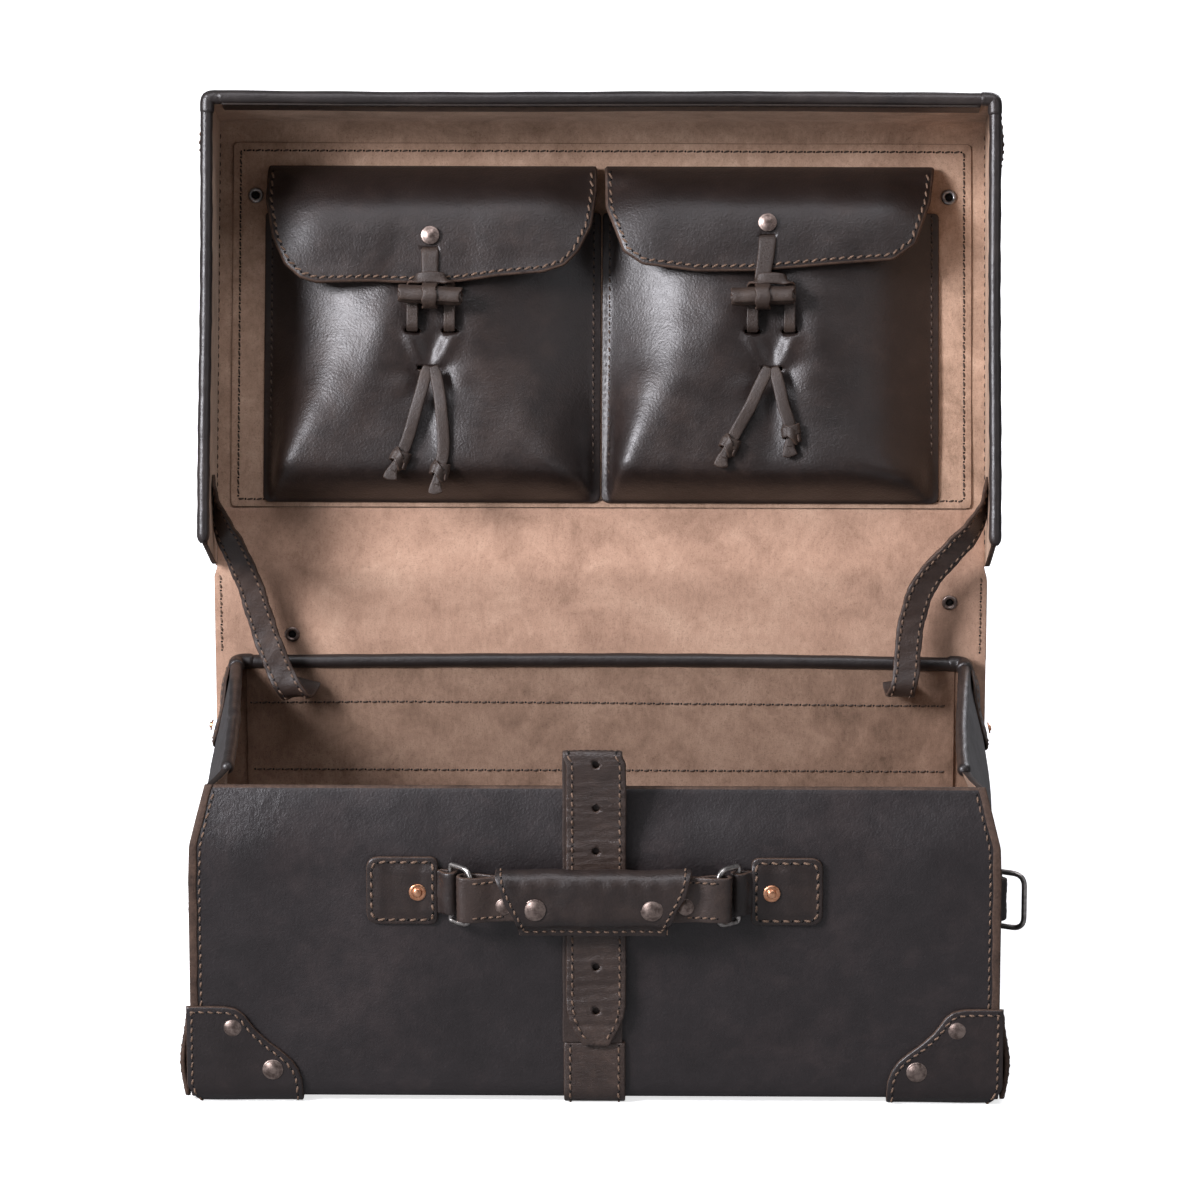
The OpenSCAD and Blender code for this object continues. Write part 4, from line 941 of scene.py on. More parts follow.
def cap_outline_front(under=66.0):
    s = [(a, h) for a, h in cap_shape]
    pts = [(0.0, 63.0)] + s[1:] + [(72.0, -under + 22), (66, -under + 6), (50, -under), (0.0, -under)]
    return np.array(pts, dtype=float)


rivets = Mesh()
base_v = wrap_v(3.05)
for front in (True, False):
    for sx, nm in ((-1, "left"), (1, "right")):
        m = Mesh()
        ol = cap_outline_front()
        v_of = (lambda z: base_v + 2.0 - z) if front else (lambda z: WRAP_LEN - base_v - 2.0 + z + 38.0)
        if not front:
            r0 = wrap_v(9.0, False) - 9.0
            v_of = lambda z, r0=r0: r0 + z
        else:
            r0 = wrap_v(9.0) + 9.0
            v_of = lambda z, r0=r0: r0 - z
        uv = np.stack([sx * (253.0 - ol[:, 0]), np.array([v_of(z) for z in ol[:, 1]])], 1)
        fold_v = v_of(13.0)
        way = 1.0 if front else -1.0

        def puff(u, v, h, fold_v=fold_v, way=way):
            a = np.abs(u)
            tuck = 1 - 0.8 * smooth((v - fold_v) * way / 15.0)
            swell_c = 1.2 * np.exp(-(((a - 232) / 20) ** 2 + ((v - fold_v) * way / 26 + 0.7) ** 2))
            return f_wrap(np.sign(u) * np.where(a > 241, 241 + (a - 241) * tuck, a), v, h + swell_c)

        panel("x", uv, puff, CAP_T, None, grid=4.0, edge_r=1.0, step=2.0, put=m)
        face = [(a, h) for a, h in cap_shape]
        line = inset(resample(uv, 2.0, True) if sx * (1 if front else -1) > 0 else resample(uv, 2.0, True)[::-1], 3.4)
        keep = [q for q in line if abs(q[0]) > 178]
        if ((uv[:, 0] * np.roll(uv[:, 1], -1)) - (np.roll(uv[:, 0], -1) * uv[:, 1])).sum() < 0:
            line = inset(resample(uv, 2.0, True)[::-1], 3.4)
        else:
            line = inset(resample(uv, 2.0, True), 3.4)
        stitches(m, puff, line, CAP_T, closed=True, thread=3, pit_shade_slot=4, pitch=5.6, length=4.2, seed=41)
        # the lobe on the end of the case
        fe = f_end(sx)
        sy = -1 if front else 1
        e = [(3.0, 3.2)] + [(3.0, 48), (8, 54.5), (18, 56), (28, 53.5), (35, 48), (43, 40), (52, 33), (60, 27), (66, 18), (68, 8), (68, 3.2)]
        el = np.array([(sy * (143 - a), h) for a, h in e])
        el = rounded(el, 3, 3)
        bulge = lambda u, v, h, fe=fe, sy=sy: fe(u, v, h + 4.6 * np.exp(-(((np.abs(u) - 134) / 17) ** 2 + ((v - 26) / 21) ** 2)))
        panel("x", el, bulge, CAP_T, None, grid=4.0, edge_r=1.0, step=2.0, put=m)
        q = resample(el, 2.0, True)
        if ((q[:, 0] * np.roll(q[:, 1], -1)) - (np.roll(q[:, 0], -1) * q[:, 1])).sum() < 0:
            q = q[::-1]
        stitches(m, bulge, inset(q, 3.6), CAP_T - 0.3, closed=True, thread=3, pit_shade_slot=4, pitch=5.6, length=4.2, seed=43, r=0.5)
        o = m.make("cap_%s_%s" % ("front" if front else "rear", nm), [LEATHER, EDGE, LEATHER, THREAD, PIT_PAINTED_SHADE], "case", "leather")
        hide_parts("corner_cap_%s_%s" % ("front" if front else "rear", nm))
        for a, z in ((28.6, 49.5), (53.4, 22.5)):
            dome(rivets, f_wrap, sx * (253.0 - a), v_of(z), CAP_T)
            dome(rivets, bulge, sy * (143 - a - 3), z - 3, CAP_T)

# ---------------------------------------------------------------- hinge flap, ears, hinge caps

FLAP_END = 266.0 + 40.6


def f_flap(u, v, h):
    """Hinge flap: v is the height up to the hinge line, and the length into the lid beyond it."""
    s = np.maximum(v - 266.0, 0.0)
    turn = LEAN * smooth((v - 261) / 10)
    lap_out = 0.25 * smooth((v - 240) / 20)
    lap_in = 0.3 * smooth((v - 210) / 12)
    off = -(1.75 + lap_out) + h * (3.5 + lap_out + lap_in) / 3.5
    off = off + wob(u, v, 51, 140, 0.4) * smooth((258 - v) / 20) * smooth((v - 205) / 10)
    off = off - 0.45 * np.exp(-((v - 232 - 0.8 * np.sin(u / 47)) / 1.5) ** 2)
    y = 141.75 + s * math.sin(LEAN) - np.cos(turn) * off
    z = np.minimum(v, 266.0) + s * math.cos(LEAN) + np.sin(turn) * off
    return np.stack([u, y, z], 1) * MM


flap = panel("hinge_flap_skin", np.array([(-251, 100), (251, 100), (251.3, 262), (249.4, 268), (249.4, FLAP_END), (-249.4, FLAP_END),
                                          (-249.4, 268), (-251.3, 262)]), f_flap, 3.5,
             [SUEDE_FLAP, EDGE, LEATHER], grid=6, edge_r=0.5, step=3, body=None,
             holes=[[(sx * 227 + 2.4 * math.cos(a), z + 2.4 * math.sin(a)) for a in np.linspace(0, 2 * PI, 16, endpoint=False)]
                    for sx in (-1, 1) for z in (246,)])
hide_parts("hinge_flap")
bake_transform(flap)
fl_thread = Mesh()
for sx in (-1, 1):
    stitches(fl_thread, f_flap, [(sx * 247.0, 212), (sx * 247.3, 264)], 3.5, seed=51 + sx)
fl_thread.make("hinge_flap_thread", [THREAD, PIT_PAINTED_SHADE], "case", "leather")
# rivets of the hinge caps: rings inside, domes outside
f_flap_out = lambda u, v, h: np.stack([u, 143.5 + h, v], 1) * MM
for sx in (-1, 1):
    for a, z in ((24.5, 246.0), (50.5, 223.0)):
        ring_rivet(rivets, f_flap, sx * (251.5 - a), z, 3.5, 0, 1)
        dome(rivets, f_flap_out, sx * (251.5 - a), z, 2.5)
o = rivets.make("case_rivets", [STEEL, PIT_PAINTED_SHADE], "case", "antique_metal")
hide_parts("corner_rivets")
for sx, nm in ((-1, "left"), (1, "right")):
    m = Mesh()
    ol = rounded([(sx * 251.5, 202), (sx * 214, 202), (sx * 177.5, 232), (sx * 177.5, 264), (sx * 251.5, 264)], [5, 14, 14, 6, 6])
    panel("x", ol, f_flap_out, 2.5, None, grid=5, edge_r=0.9, step=2, put=m)
    q = resample(ol, 2, True)
    if ((q[:, 0] * np.roll(q[:, 1], -1)) - (np.roll(q[:, 0], -1) * q[:, 1])).sum() < 0:
        q = q[::-1]
    stitches(m, f_flap_out, inset(q, 3.4), 2.5, closed=True, thread=3, pit_shade_slot=4, seed=53)
    o = m.make("hinge_cap_skin_" + nm, [LEATHER, EDGE, LEATHER, THREAD, PIT_PAINTED_SHADE], "case", "leather")
    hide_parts("hinge_cap_" + nm)
    # ear: wraps from the flap on to the end of the case
    fe = f_end(sx)
    ear = lambda u, v, h, fe=fe: fe(u, v, h + (2.4 * np.exp(-((v - 193) / 10.5) ** 2) + 1.5 * np.exp(-((v - 160) / 8.0) ** 2)) * smooth((141 - u) / 10) * smooth((u - 100) / 14))
    m = Mesh()
    ol = spline([(140, 151), (128, 150), (113, 155), (103, 168), (101, 182), (106, 196), (118, 203), (132, 205), (140, 205.5)], 2.0)
    panel("x", ol, ear, 1.5, None, grid=3.5, edge_r=0.8, step=2, put=m)
    inner = np.array([(137, 154.5), (128, 153.5), (115, 158), (106.5, 169), (104.5, 182), (109, 194), (120, 200), (136, 202)])
    stitches(m, ear, spline(inner, 2), 1.35, thread=3, pit_shade_slot=4, seed=57)
    o = m.make("ear_" + nm, [BROWN, EDGE, BROWN, THREAD, PIT_PAINTED_SHADE], "case", "leather")
    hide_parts("hinge_ear_" + nm)

# ---------------------------------------------------------------- lid

lid = panel("lid_skin", rect(-250.5, 0, 250.5, LID_LEN, 0), lambda u, v, h: f_lid(u, v, h - 3.5), 3.5, [LEATHER, EDGE, SUEDE],
            grid=6, edge_r=0.5, step=4, body="lid")
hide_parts("lid_shell")
for sx, nm in ((-1, "left"), (1, "right")):
    side_ol = rounded([(3.8, -1.75), (296, -1.75), (296, 91), (8.8, 91), (4.2, 14)], [0.5, 18, 0.5, 1, 3])
    fs = f_lidside(sx)
    o = panel("lid_wall_" + nm, side_ol, fs, 3.5, [LEATHER, EDGE, SUEDE], grid=6, edge_r=0.6, step=3, body="lid")
    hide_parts("lid_side_" + nm)

m = Mesh()
for sx in (-1, 1):
    run = [(sx * (252.3 + 0.25 * math.sin(s / 37)), s, 91.0 + 0.3 * math.sin(s / 29)) for s in np.linspace(9.5, 291, 130)]
    p = lid3(resample(run, 2.0))
    rr = 4.0 + 0.12 * np.sin(np.arange(len(p)) * 0.37) + 0.08 * np.sin(np.arange(len(p)) * 0.9)
    rr[:3] *= np.array([0.5, 0.83, 0.96])
    tube(p, 4.0, 18, m=m, radii=rr)
run = [(x, 296.3 + 0.5 * math.sin(x / 70), 91.0 + 0.35 * math.sin(x / 44)) for x in np.linspace(-246, 246.5, 140)]
p = lid3(resample(run, 3.0))
tube(p, 4.4, 18, m=m, radii=4.4 + 0.14 * np.sin(np.arange(len(p)) * 0.3))
for sx in (-1, 1):
    top_x = 252.3
    c = spline([(sx * (top_x - 9), 296.4, 91), (sx * (top_x - 2.2), 296.1, 91), (sx * (top_x - 0.2), 294.0, 91), (sx * top_x, 286, 91)], 0.7)
    tube(lid3(c), 4.6, 18, m=m, radii=np.interp(np.arange(len(c)), [0, 2, len(c) - 3, len(c) - 1], [4.2, 4.6, 4.6, 4.0]))
o = m.make("lid_rim", [PIPE], "lid", "leather")
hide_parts("lid_piping")

lid_holes = [[(x + 2.5 * math.cos(a), 245 + 2.5 * math.sin(a)) for a in np.linspace(0, 2 * PI, 18, endpoint=False)] for x in (-226.05, 226.05)]
f_lin = f_level(1.75, 0.35, 61)
o = panel("lid_lining_suede", rect(-241, 41, 241, 280, 3), f_lin, 1.5, [SUEDE, EDGE, SUEDE], grid=7, edge_r=0.6, step=3, body="lid")
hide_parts("lid_lining")
facing = Mesh()
f_face = lambda u, v, h: lid_pt(u, 292.3 - h + 0.3 * np.sin(u / 60), v)
low_edge = [(x, 69.0 + 0.9 * math.sin(x / 53) + 0.5 * math.sin(x / 17)) for x in np.linspace(-243, 243, 90)]
panel("x", np.array([(243.0, 93.0), (-243.0, 93.0)] + low_edge), f_face, 1.4, None, grid=6, edge_r=0.5, step=3, put=facing)
facing.make("lid_front_facing", [LEATHER, EDGE_DARK, LEATHER], "lid", "leather")
lid_thread = Mesh()
stitches(lid_thread, f_lin, rect(-236, 46, 236, 274.6, 2), 1.5, closed=True, thread=2, seed=61)
for sx in (-1, 1):
    fs = f_lidside(sx)
    inner = lambda u, v, h, fs=fs: fs(u, v, -h)
    stitches(lid_thread, inner, [(16, 8), (286, 8)], 0.0, thread=2, seed=63)
m = Mesh()
for x in (-1, 1):
    ring_rivet(m, f_lin, x * 226.05, 245, 2.1, 0, 1)
    f_out = lambda u, v, h: f_lid(u, v, h)
    v_of_s = lambda s: float(np.interp(s, lp[:, 0], ld))
    dome(m, f_lid, x * 226.05, v_of_s(245), 2.5)
    dome(m, f_lid, x * 203, v_of_s(271.5), 2.5)
    dome(m, f_lid, x * 226.75, float(np.interp(41.6, lp[:, 1], ld)), 2.5)
    fs = f_lidside(x)
    side_out = lambda u, v, h, fs=fs: fs(u, v, h + 3.5)
    dome(m, side_out, 272.6, 38.4, 2.5)
o = m.make("lid_rivet_set", [EYELET, PIT_PAINTED_SHADE], "lid", "antique_metal")
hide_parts("lid_rivets")

for sx, nm in ((-1, "left"), (1, "right")):
    m = Mesh()
    corner_v = v_of_s(278) + 14.1
    ol = [(255.5, corner_v - 76), (224, corner_v - 76), (213, corner_v - 68), (210, corner_v - 54), (196, corner_v - 42), (184, corner_v - 30),
          (183, corner_v + 22), (196, corner_v + 34), (209, corner_v + 44), (212, corner_v + 60), (222, corner_v + 68), (255.5, corner_v + 68)]
    ol = np.array([(sx * a, b) for a, b in ol])
    ol = rounded(ol, [2, 8, 8, 8, 8, 10, 10, 8, 8, 8, 8, 2], 4)
    panel("x", ol, f_lid, 2.5, None, grid=4.5, edge_r=0.9, step=2, put=m)
    q = resample(ol, 2, True)
    if ((q[:, 0] * np.roll(q[:, 1], -1)) - (np.roll(q[:, 0], -1) * q[:, 1])).sum() < 0:
        q = q[::-1]
    stitches(m, f_lid, inset(q, 3.4), 2.5, closed=True, thread=3, pit_shade_slot=4, seed=65)
    fs = f_lidside(sx)
    side_out = lambda u, v, h, fs=fs: fs(u, v, h + 3.5 + 4.4 * np.exp(-(((u - 274) / 24) ** 2 + ((v - 34) / 30) ** 4)))
    e = rounded([(298, 0), (298, 58), (280, 60), (268, 52), (256, 38), (240, 30), (236, 12), (238, 0)], [2, 3, 8, 10, 10, 8, 8, 2], 4)
    panel("x", e, side_out, 2.5, None, grid=4.5, edge_r=0.9, step=2, put=m)
    q = resample(e, 2, True)
    if ((q[:, 0] * np.roll(q[:, 1], -1)) - (np.roll(q[:, 0], -1) * q[:, 1])).sum() < 0:
        q = q[::-1]
    stitches(m, side_out, inset(q, 3.4), 2.5, closed=True, thread=3, pit_shade_slot=4, seed=67)
    o = m.make("lid_cap_skin_" + nm, [LEATHER, EDGE, LEATHER, THREAD, PIT_PAINTED_SHADE], "lid", "leather")
    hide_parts("lid_cap_" + nm)
lid_thread.make("lid_thread", [THREAD, PIT_PAINTED_SHADE, THREAD_DARK], "lid", "leather")
body_thread.make("body_thread", [THREAD, PIT_PAINTED_SHADE, THREAD_DARK], "case", "leather")


# ---------------------------------------------------------------- floor of the case

f_board = lambda u, v, h: np.stack([u, v, 8.0 + h + wob(u, v, 71, 160, 0.4)], 1) * MM
o = panel("case_floor_suede", rect(-243, -134, 243, 134, 4), f_board, 2.5, [SUEDE_PAINTED_SHADE, EDGE, SUEDE_PAINTED_SHADE], grid=9, step=5)
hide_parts("base_board")

# ---------------------------------------------------------------- pockets

HALF = 100.0


def bell(x, c, w):
    return np.exp(-((x - c) / w) ** 2)


# half width of the front at a height s, for the left and the right crest of each pocket
RIDGE = {-1: (([48, 58, 81, 109, 137, 159, 182, 234], [103, 101, 91, 76.6, 61, 52, 48, 45]),
              ([48, 64, 83, 112, 150, 166, 182, 234], [94, 83, 71.5, 56, 47, 46.5, 45, 43])),
         1: (([48, 58, 71, 99, 122, 146, 163, 185, 234], [104, 102, 97, 86, 76, 66, 62, 58, 54]),
             ([48, 62, 77, 115, 182, 234], [92, 79, 69, 58, 55, 53]))}
GATHER = {-1: -2.0, 1: 0.7}


def soft_table(v, table, reach=16.0):
    """A table read with its corners rounded."""
    return np.mean([np.interp(v + d * reach, *table) for d in np.linspace(-1, 1, 9)], axis=0)


def pocket_h(x, s, side):
    """Height of a pocket's front over the lining; x from the pocket's middle."""
    q = np.clip((s - 45) / 27, 0, 1)
    rise = 1 - (1 - q) ** 2.6
    up = np.clip((s - 48) / 142, 0, 1)
    up = up * (1.25 - 0.25 * up)
    half = np.where(x < 0, soft_table(s, RIDGE[side][0]), soft_table(s, RIDGE[side][1])) - 4.0 * (1 - q) ** 2
    a = np.abs(x)
    power = np.exp(soft_table(half, ([44, 50, 60, 66, 76, 86, 92, 100, 106], np.log([1.65, 1.75, 2.6, 3.1, 5.2, 9.5, 15, 34, 60])), 5.0))
    fall = 1 - (a / 105.0) ** power
    fall = 0.5 * (fall + np.sqrt(fall ** 2 + 0.0025))
    valley = 1 - 0.21 * np.clip(up, 0, 1) ** 1.2 * np.exp(-(x / 34.0) ** 2)
    h = 33.6 * rise * fall * valley
    h = h - 5.0 * smooth((s - 196) / 38) * fall
    inner = fall * rise
    gx = GATHER[side]
    r2 = (x - gx) ** 2 + (s - 124.4) ** 2
    r = np.sqrt(r2)
    ang = np.arctan2(s - 124.4, x - gx)
    h = h - 6.0 * np.exp(-r2 / 14.0 ** 2) * inner
    h = h + 0.45 * np.cos(7 * ang + 0.6) * np.exp(-((r - 21) / 10) ** 2) * inner
    h = h - 2.4 * bell(x, gx, 9) * smooth((s - 60) / 25) * smooth((122 - s) / 20) * inner
    for c in (-1, 1):
        # ridge from each leg's slit to the gather
        bx, bs = gx + c * 3.5, 129.0
        ex, es = c * 14.0 - bx, 150.0 - bs
        w = np.clip(((x - bx) * ex + (s - bs) * es) / (ex * ex + es * es), 0, 1)
        d2 = (x - bx - w * ex) ** 2 + (s - bs - w * es) ** 2
        h = h + 2.3 * np.exp(-d2 / 4.6 ** 2) * inner
        h = h - 1.6 * bell(x, c * 12.0, 5.5) * bell(s, 153, 3.0)
        # soft lobe from the ridge towards the slits
        h = h + 1.7 * bell(x - c * 30, 0, 13) * bell(s + 0.5 * (a - 30), 160, 20) * inner
    h = h - 1.8 * bell(x, 0, 7) * bell(s, 143, 8) * inner
    h = h + wob(x, s, 80 + side, 90, 0.7) * inner + wob(x, s, 90 + side, 34, 0.22) * inner
    return np.where(s < 45, 0.0, np.maximum(h, 0))


for side, nm in ((-1, "left"), (1, "right")):
    pc = side * 110.0

    def f_pocket(u, v, h, pc=pc, side=side):
        x = u - pc
        e = 0.6
        H = pocket_h(x, v, side)
        hx = (pocket_h(x + e, v, side) - pocket_h(x - e, v, side)) / (2 * e)
        hs = (pocket_h(x, v + e, side) - pocket_h(x, v - e, side)) / (2 * e)
        n = np.stack([-hx, -hs, np.ones_like(hx)], 1)
        n /= np.linalg.norm(n, axis=1)[:, None]
        hh = h - 2.2
        return lid_pt(u + n[:, 0] * hh, v + n[:, 1] * hh, 5.5 + H + n[:, 2] * hh)

    m = Mesh()
    slits = []
    for sx in (-12, 12):
        slits.append(rounded([(pc + sx - 5, 151.6), (pc + sx + 5, 151.6), (pc + sx + 5, 154.4), (pc + sx - 5, 154.4)], 1.0, 3))
    gx = pc + GATHER[side]
    slits.append(rounded([(gx - 7, 127.2), (gx + 7, 127.2), (gx + 7, 130.2), (gx - 7, 130.2)], 1.2, 3))
    panel("x", rounded([(pc - 109.6, 44), (pc + 109.6, 44), (pc + 109.6, 234), (pc - 109.6, 234)], [5, 5, 3, 3], 4), f_pocket, 2.2, None,
          grid=2.5, edge_r=0.7, step=2.0, put=m, holes=slits)
    for e in (-1, 1):
        stitches(m, f_pocket, [(pc + e * 104.8, 232), (pc + e * 104.8, 62 if e * side < 0 else 74)], 2.2, thread=3, pit_shade_slot=4,
                 seed=71 + side, pitch=5.6, length=4.0)
    o = m.make("pocket_skin_" + nm, [POCKET, EDGE, SUEDE, THREAD_DARK, PIT_PAINTED_SHADE], "lid", "leather")
    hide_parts("pocket_" + nm)

# ---------------------------------------------------------------- pocket flaps, tabs, toggles, loops

flap_shape = {
    -1: [(-217.5, 264.8), (-218.5, 240), (-213.3, 213), (-205, 195), (-195, 186), (-184, 182.6), (-147.7, 183.7), (-118.5, 182.6),
         (-92.5, 183.7), (-65.3, 187.6), (-38, 189.8), (-23.7, 194.5), (-14.6, 204), (-6.2, 222), (-2.9, 246), (-3.4, 264.8)],
    1: [(1.8, 264.8), (2.6, 235), (14, 204.4), (27, 195.4), (62.7, 191), (101.6, 191.4), (147, 195.6), (189, 199), (203.5, 209.5),
        (213.5, 239), (216.5, 264.8)]}
crest = spline([(182, 41.9), (200, 41.9), (212, 41.6), (224, 40.4), (235, 37.6), (245, 32.0), (252.5, 25.0), (258, 18.0), (262, 12.0), (265, 7.8), (268, 6.6)], 0.5)
for side, nm in ((-1, "left"), (1, "right")):
    pc = side * 110.0
    ctr = (-110.7, 214.0) if side < 0 else (107.5, 223.0)

    def f_flap_p(u, v, h, pc=pc, side=side):
        x = np.abs(u - pc)
        w = np.interp(v, crest[:, 0], crest[:, 1])
        droop = 9.0 * smooth((x - 66) / 46) ** 1.3
        w = np.maximum(w - droop * smooth((v - 178) / 60) * smooth((262 - v) / 16), 6.0)
        curl = 1.4 * np.exp(-((v - 186) / 7.0) ** 2) * smooth((x - 30) / 30)
        w = w + curl + wob(u, v, 95 + side, 80, 0.9) * smooth((262 - v) / 20) * smooth((x - 16) / 20)
        dw = (np.interp(v + 0.5, crest[:, 0], crest[:, 1]) - np.interp(v - 0.5, crest[:, 0], crest[:, 1]))
        n = 1 / np.sqrt(1 + dw * dw)
        return lid_pt(u, v - dw * n * (h - 2.2), w + n * (h - 2.2))

    m = Mesh()
    ol = rounded(flap_shape[side], [1.0] + [6.0] * 14 + [1.0] if side < 0 else [1.0] + [6.0] * 9 + [1.0], 3)
    slit = rounded([(ctr[0] - 5.2, ctr[1] - 9.4), (ctr[0] + 5.2, ctr[1] - 9.4), (ctr[0] + 5.2, ctr[1] - 7.6), (ctr[0] - 5.2, ctr[1] - 7.6)], 0.8, 3)
    panel("x", ol, f_flap_p, 2.2, None, grid=3.6, edge_r=1.5, step=1.8, put=m, holes=[slit])
    q = resample(ol, 2.0, True)
    if ((q[:, 0] * np.roll(q[:, 1], -1)) - (np.roll(q[:, 0], -1) * q[:, 1])).sum() < 0:
        q = q[::-1]
    line = inset(q, 3.6)
    line = line[line[:, 1] < 260.2]
    k = int(np.argmax(np.linalg.norm(np.diff(np.vstack([line, line[:1]]), axis=0), axis=1)))
    line = np.roll(line, -(k + 1), axis=0)
    stitches(m, f_flap_p, line, 2.2, thread=3, pit_shade_slot=4, seed=75 + side, pitch=5.8, length=4.8, r=0.72, lean=0.2)
    o = m.make("flap_skin_" + nm, [POCKET, EDGE, SUEDE, THREAD, PIT_PAINTED_SHADE], "flap_" + nm, "leather")
    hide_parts("pocket_flap_" + nm)

    # tab: under the rivet, down to the toggle and round it
    ts = 174.0
    tw = 47.65
    tx = -110.5 if side < 0 else 104.5
    tilt = math.radians(-3.0 if side < 0 else 2.0)
    fw = lambda s: float(np.interp(s, crest[:, 0], crest[:, 1])) + 1.0
    pts = [(ctr[0], ctr[1] - 7.2, fw(ctr[1]) - 3.6), (ctr[0], ctr[1] - 9.0, fw(ctr[1]) - 1.2), (ctr[0], ctr[1] - 12.0, fw(ctr[1]) + 0.5),
           (ctr[0] + (tx - ctr[0]) * 0.4, (ctr[1] + 176) / 2, 43.1), (tx, 188, 43.2), (tx, 181.5, 43.2), (tx, 177.5, 42.6)]
    f_tab, TL = ribbon(lid3(spline(pts, 1.0)), (1, 0, 0), 2.0)
    m = Mesh()
    panel("x", rounded([(0, -5.5), (6, -5.6), (16, -5.3), (TL, -4.9), (TL, 4.9), (16, 5.3), (6, 5.6), (0, 5.5)], [0.4, 2, 2, 0.4, 0.4, 2, 2, 0.4], 3), f_tab, 2.0, None,
          grid=2.2, edge_r=0.8, step=1.2, put=m)
    wrap_at = [(tx, ts + 7.7 * math.cos(a), tw + 7.7 * math.sin(a)) for a in np.linspace(math.radians(-62), math.radians(262), 60)]
    f_wr, WL = ribbon(lid3(wrap_at), (1, 0, 0), 1.5)
    panel("x", np.array([(q, -4.7 + 0.5 * math.sin(q * 0.7)) for q in np.linspace(0, WL, 30)] + [(q, 4.6 + 0.5 * math.sin(q * 0.6 + 1)) for q in np.linspace(WL, 0, 30)]),
          f_wr, 1.5, None, grid=1.8, edge_r=0.6, step=1.2, put=m)
    o = m.make("tab_strap_" + nm, [THONG, EDGE, THONG], "flap_" + nm, "brown_leather")
    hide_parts("tab_" + nm)
    m = Mesh()
    c = lid_pt(np.array([ctr[0]]), np.array([ctr[1]]), np.array([fw(ctr[1]) + 1.0]))[0]
    nrm = (0, -math.cos(LEAN), math.sin(LEAN))
    lathe(m, [(6.0, -0.3), (6.0, 0.35)] + dome_profile(5.8, 2.1)[2:], c, nrm)
    o = m.make("flap_stud_" + nm, [STEEL], "flap_" + nm, "antique_metal")
    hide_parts("flap_rivet_" + nm)

    # toggle: a strip of leather rolled into a tight spiral
    turns = 2.05 * 2 * PI
    aa = np.linspace(0, turns, 160)
    rr = 1.3 + (6.0 - 1.3) * (aa / turns) ** 0.7
    arc_l = np.r_[0, np.cumsum(np.hypot(np.diff(rr), rr[1:] * np.diff(aa)))]

    def f_roll(u, v, h, aa=aa, rr=rr, arc_l=arc_l, tx=tx, tilt=tilt, ts=ts, tw=tw):
        a = np.interp(v, arc_l, aa)
        r = np.interp(v, arc_l, rr) + h - 1.05 + 0.10 * np.sin(u * 0.5 + a)
        ds = r * np.cos(a + 1.9)
        dw = r * np.sin(a + 1.9)
        return lid_pt(tx + u * math.cos(tilt) - ds * math.sin(tilt), ts + ds * math.cos(tilt) + u * math.sin(tilt), tw + dw)

    SL = arc_l[-1]
    end_wave = [(20.3 - 0.8 * math.sin(v * 0.55) + 0.5 * math.sin(v * 1.7) - 1.0 * smooth((v - SL + 8) / 8), v) for v in np.linspace(0, SL, 40)]
    other = [(-19.8 + 0.7 * math.sin(v * 0.5 + 1) + 0.6 * math.sin(v * 1.3), v) for v in np.linspace(SL, 0, 40)]
    m = Mesh()
    panel("x", np.array(end_wave + other), f_roll, 2.0, None, grid=1.6, edge_r=0.5, step=1.2, put=m)
    o = m.make("toggle_roll_" + nm, [THONG, EDGE, THONG], "flap_" + nm, "brown_leather")
    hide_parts("toggle_" + nm)

    # thong loop: out of two slits, behind the toggle and round in front of the tab
    lx = pc
    pts = [(lx - 12, 152.6, 36.6), (lx - 12, 156, 39.6), (lx - 12, 164, 40.3), (lx - 12, 174, 40.3), (lx - 12.2, 179.5, 41.2),
           (lx - 11.6, 183.2, 44.0), (lx - 7.5, 185.6, 46.2), (lx, 186.2, 46.7), (lx + 7.5, 185.6, 46.2), (lx + 11.6, 183.2, 44.0),
           (lx + 12.2, 179.5, 41.2), (lx + 12, 174, 40.3), (lx + 12, 164, 40.3), (lx + 12, 156, 39.6), (lx + 12, 152.6, 36.6)]
    sp = spline(pts, 1.0)
    W = spread([(0, (1, 0, 0)), (0.3, (1, 0, 0)), (0.42, (0.5, 0.8, 0)), (0.5, (0, 1, 0)), (0.58, (-0.5, 0.8, 0)), (0.7, (-1, 0, 0)), (1, (-1, 0, 0))], len(sp))
    wl = np.stack([W[:, 0], W[:, 1] * math.sin(LEAN), W[:, 1] * math.cos(LEAN)], 1)
    f_loop, LL = ribbon(lid3(sp), wl, 1.9)
    m = Mesh()
    panel("x", rect(0, -3.6, LL, 3.6, 0.6), f_loop, 1.9, None, grid=1.8, edge_r=0.7, step=1.2, put=m)
    o = m.make("loop_lace_" + nm, [THONG, EDGE, THONG], "lid", "brown_leather")
    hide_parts("pocket_loop_" + nm)
    a = lid_pt(np.array([pc]), np.array([152.0]), np.array([38.0]))[0]
    tuple(float(c) for c in a)
    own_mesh(o)

# ---------------------------------------------------------------- stays

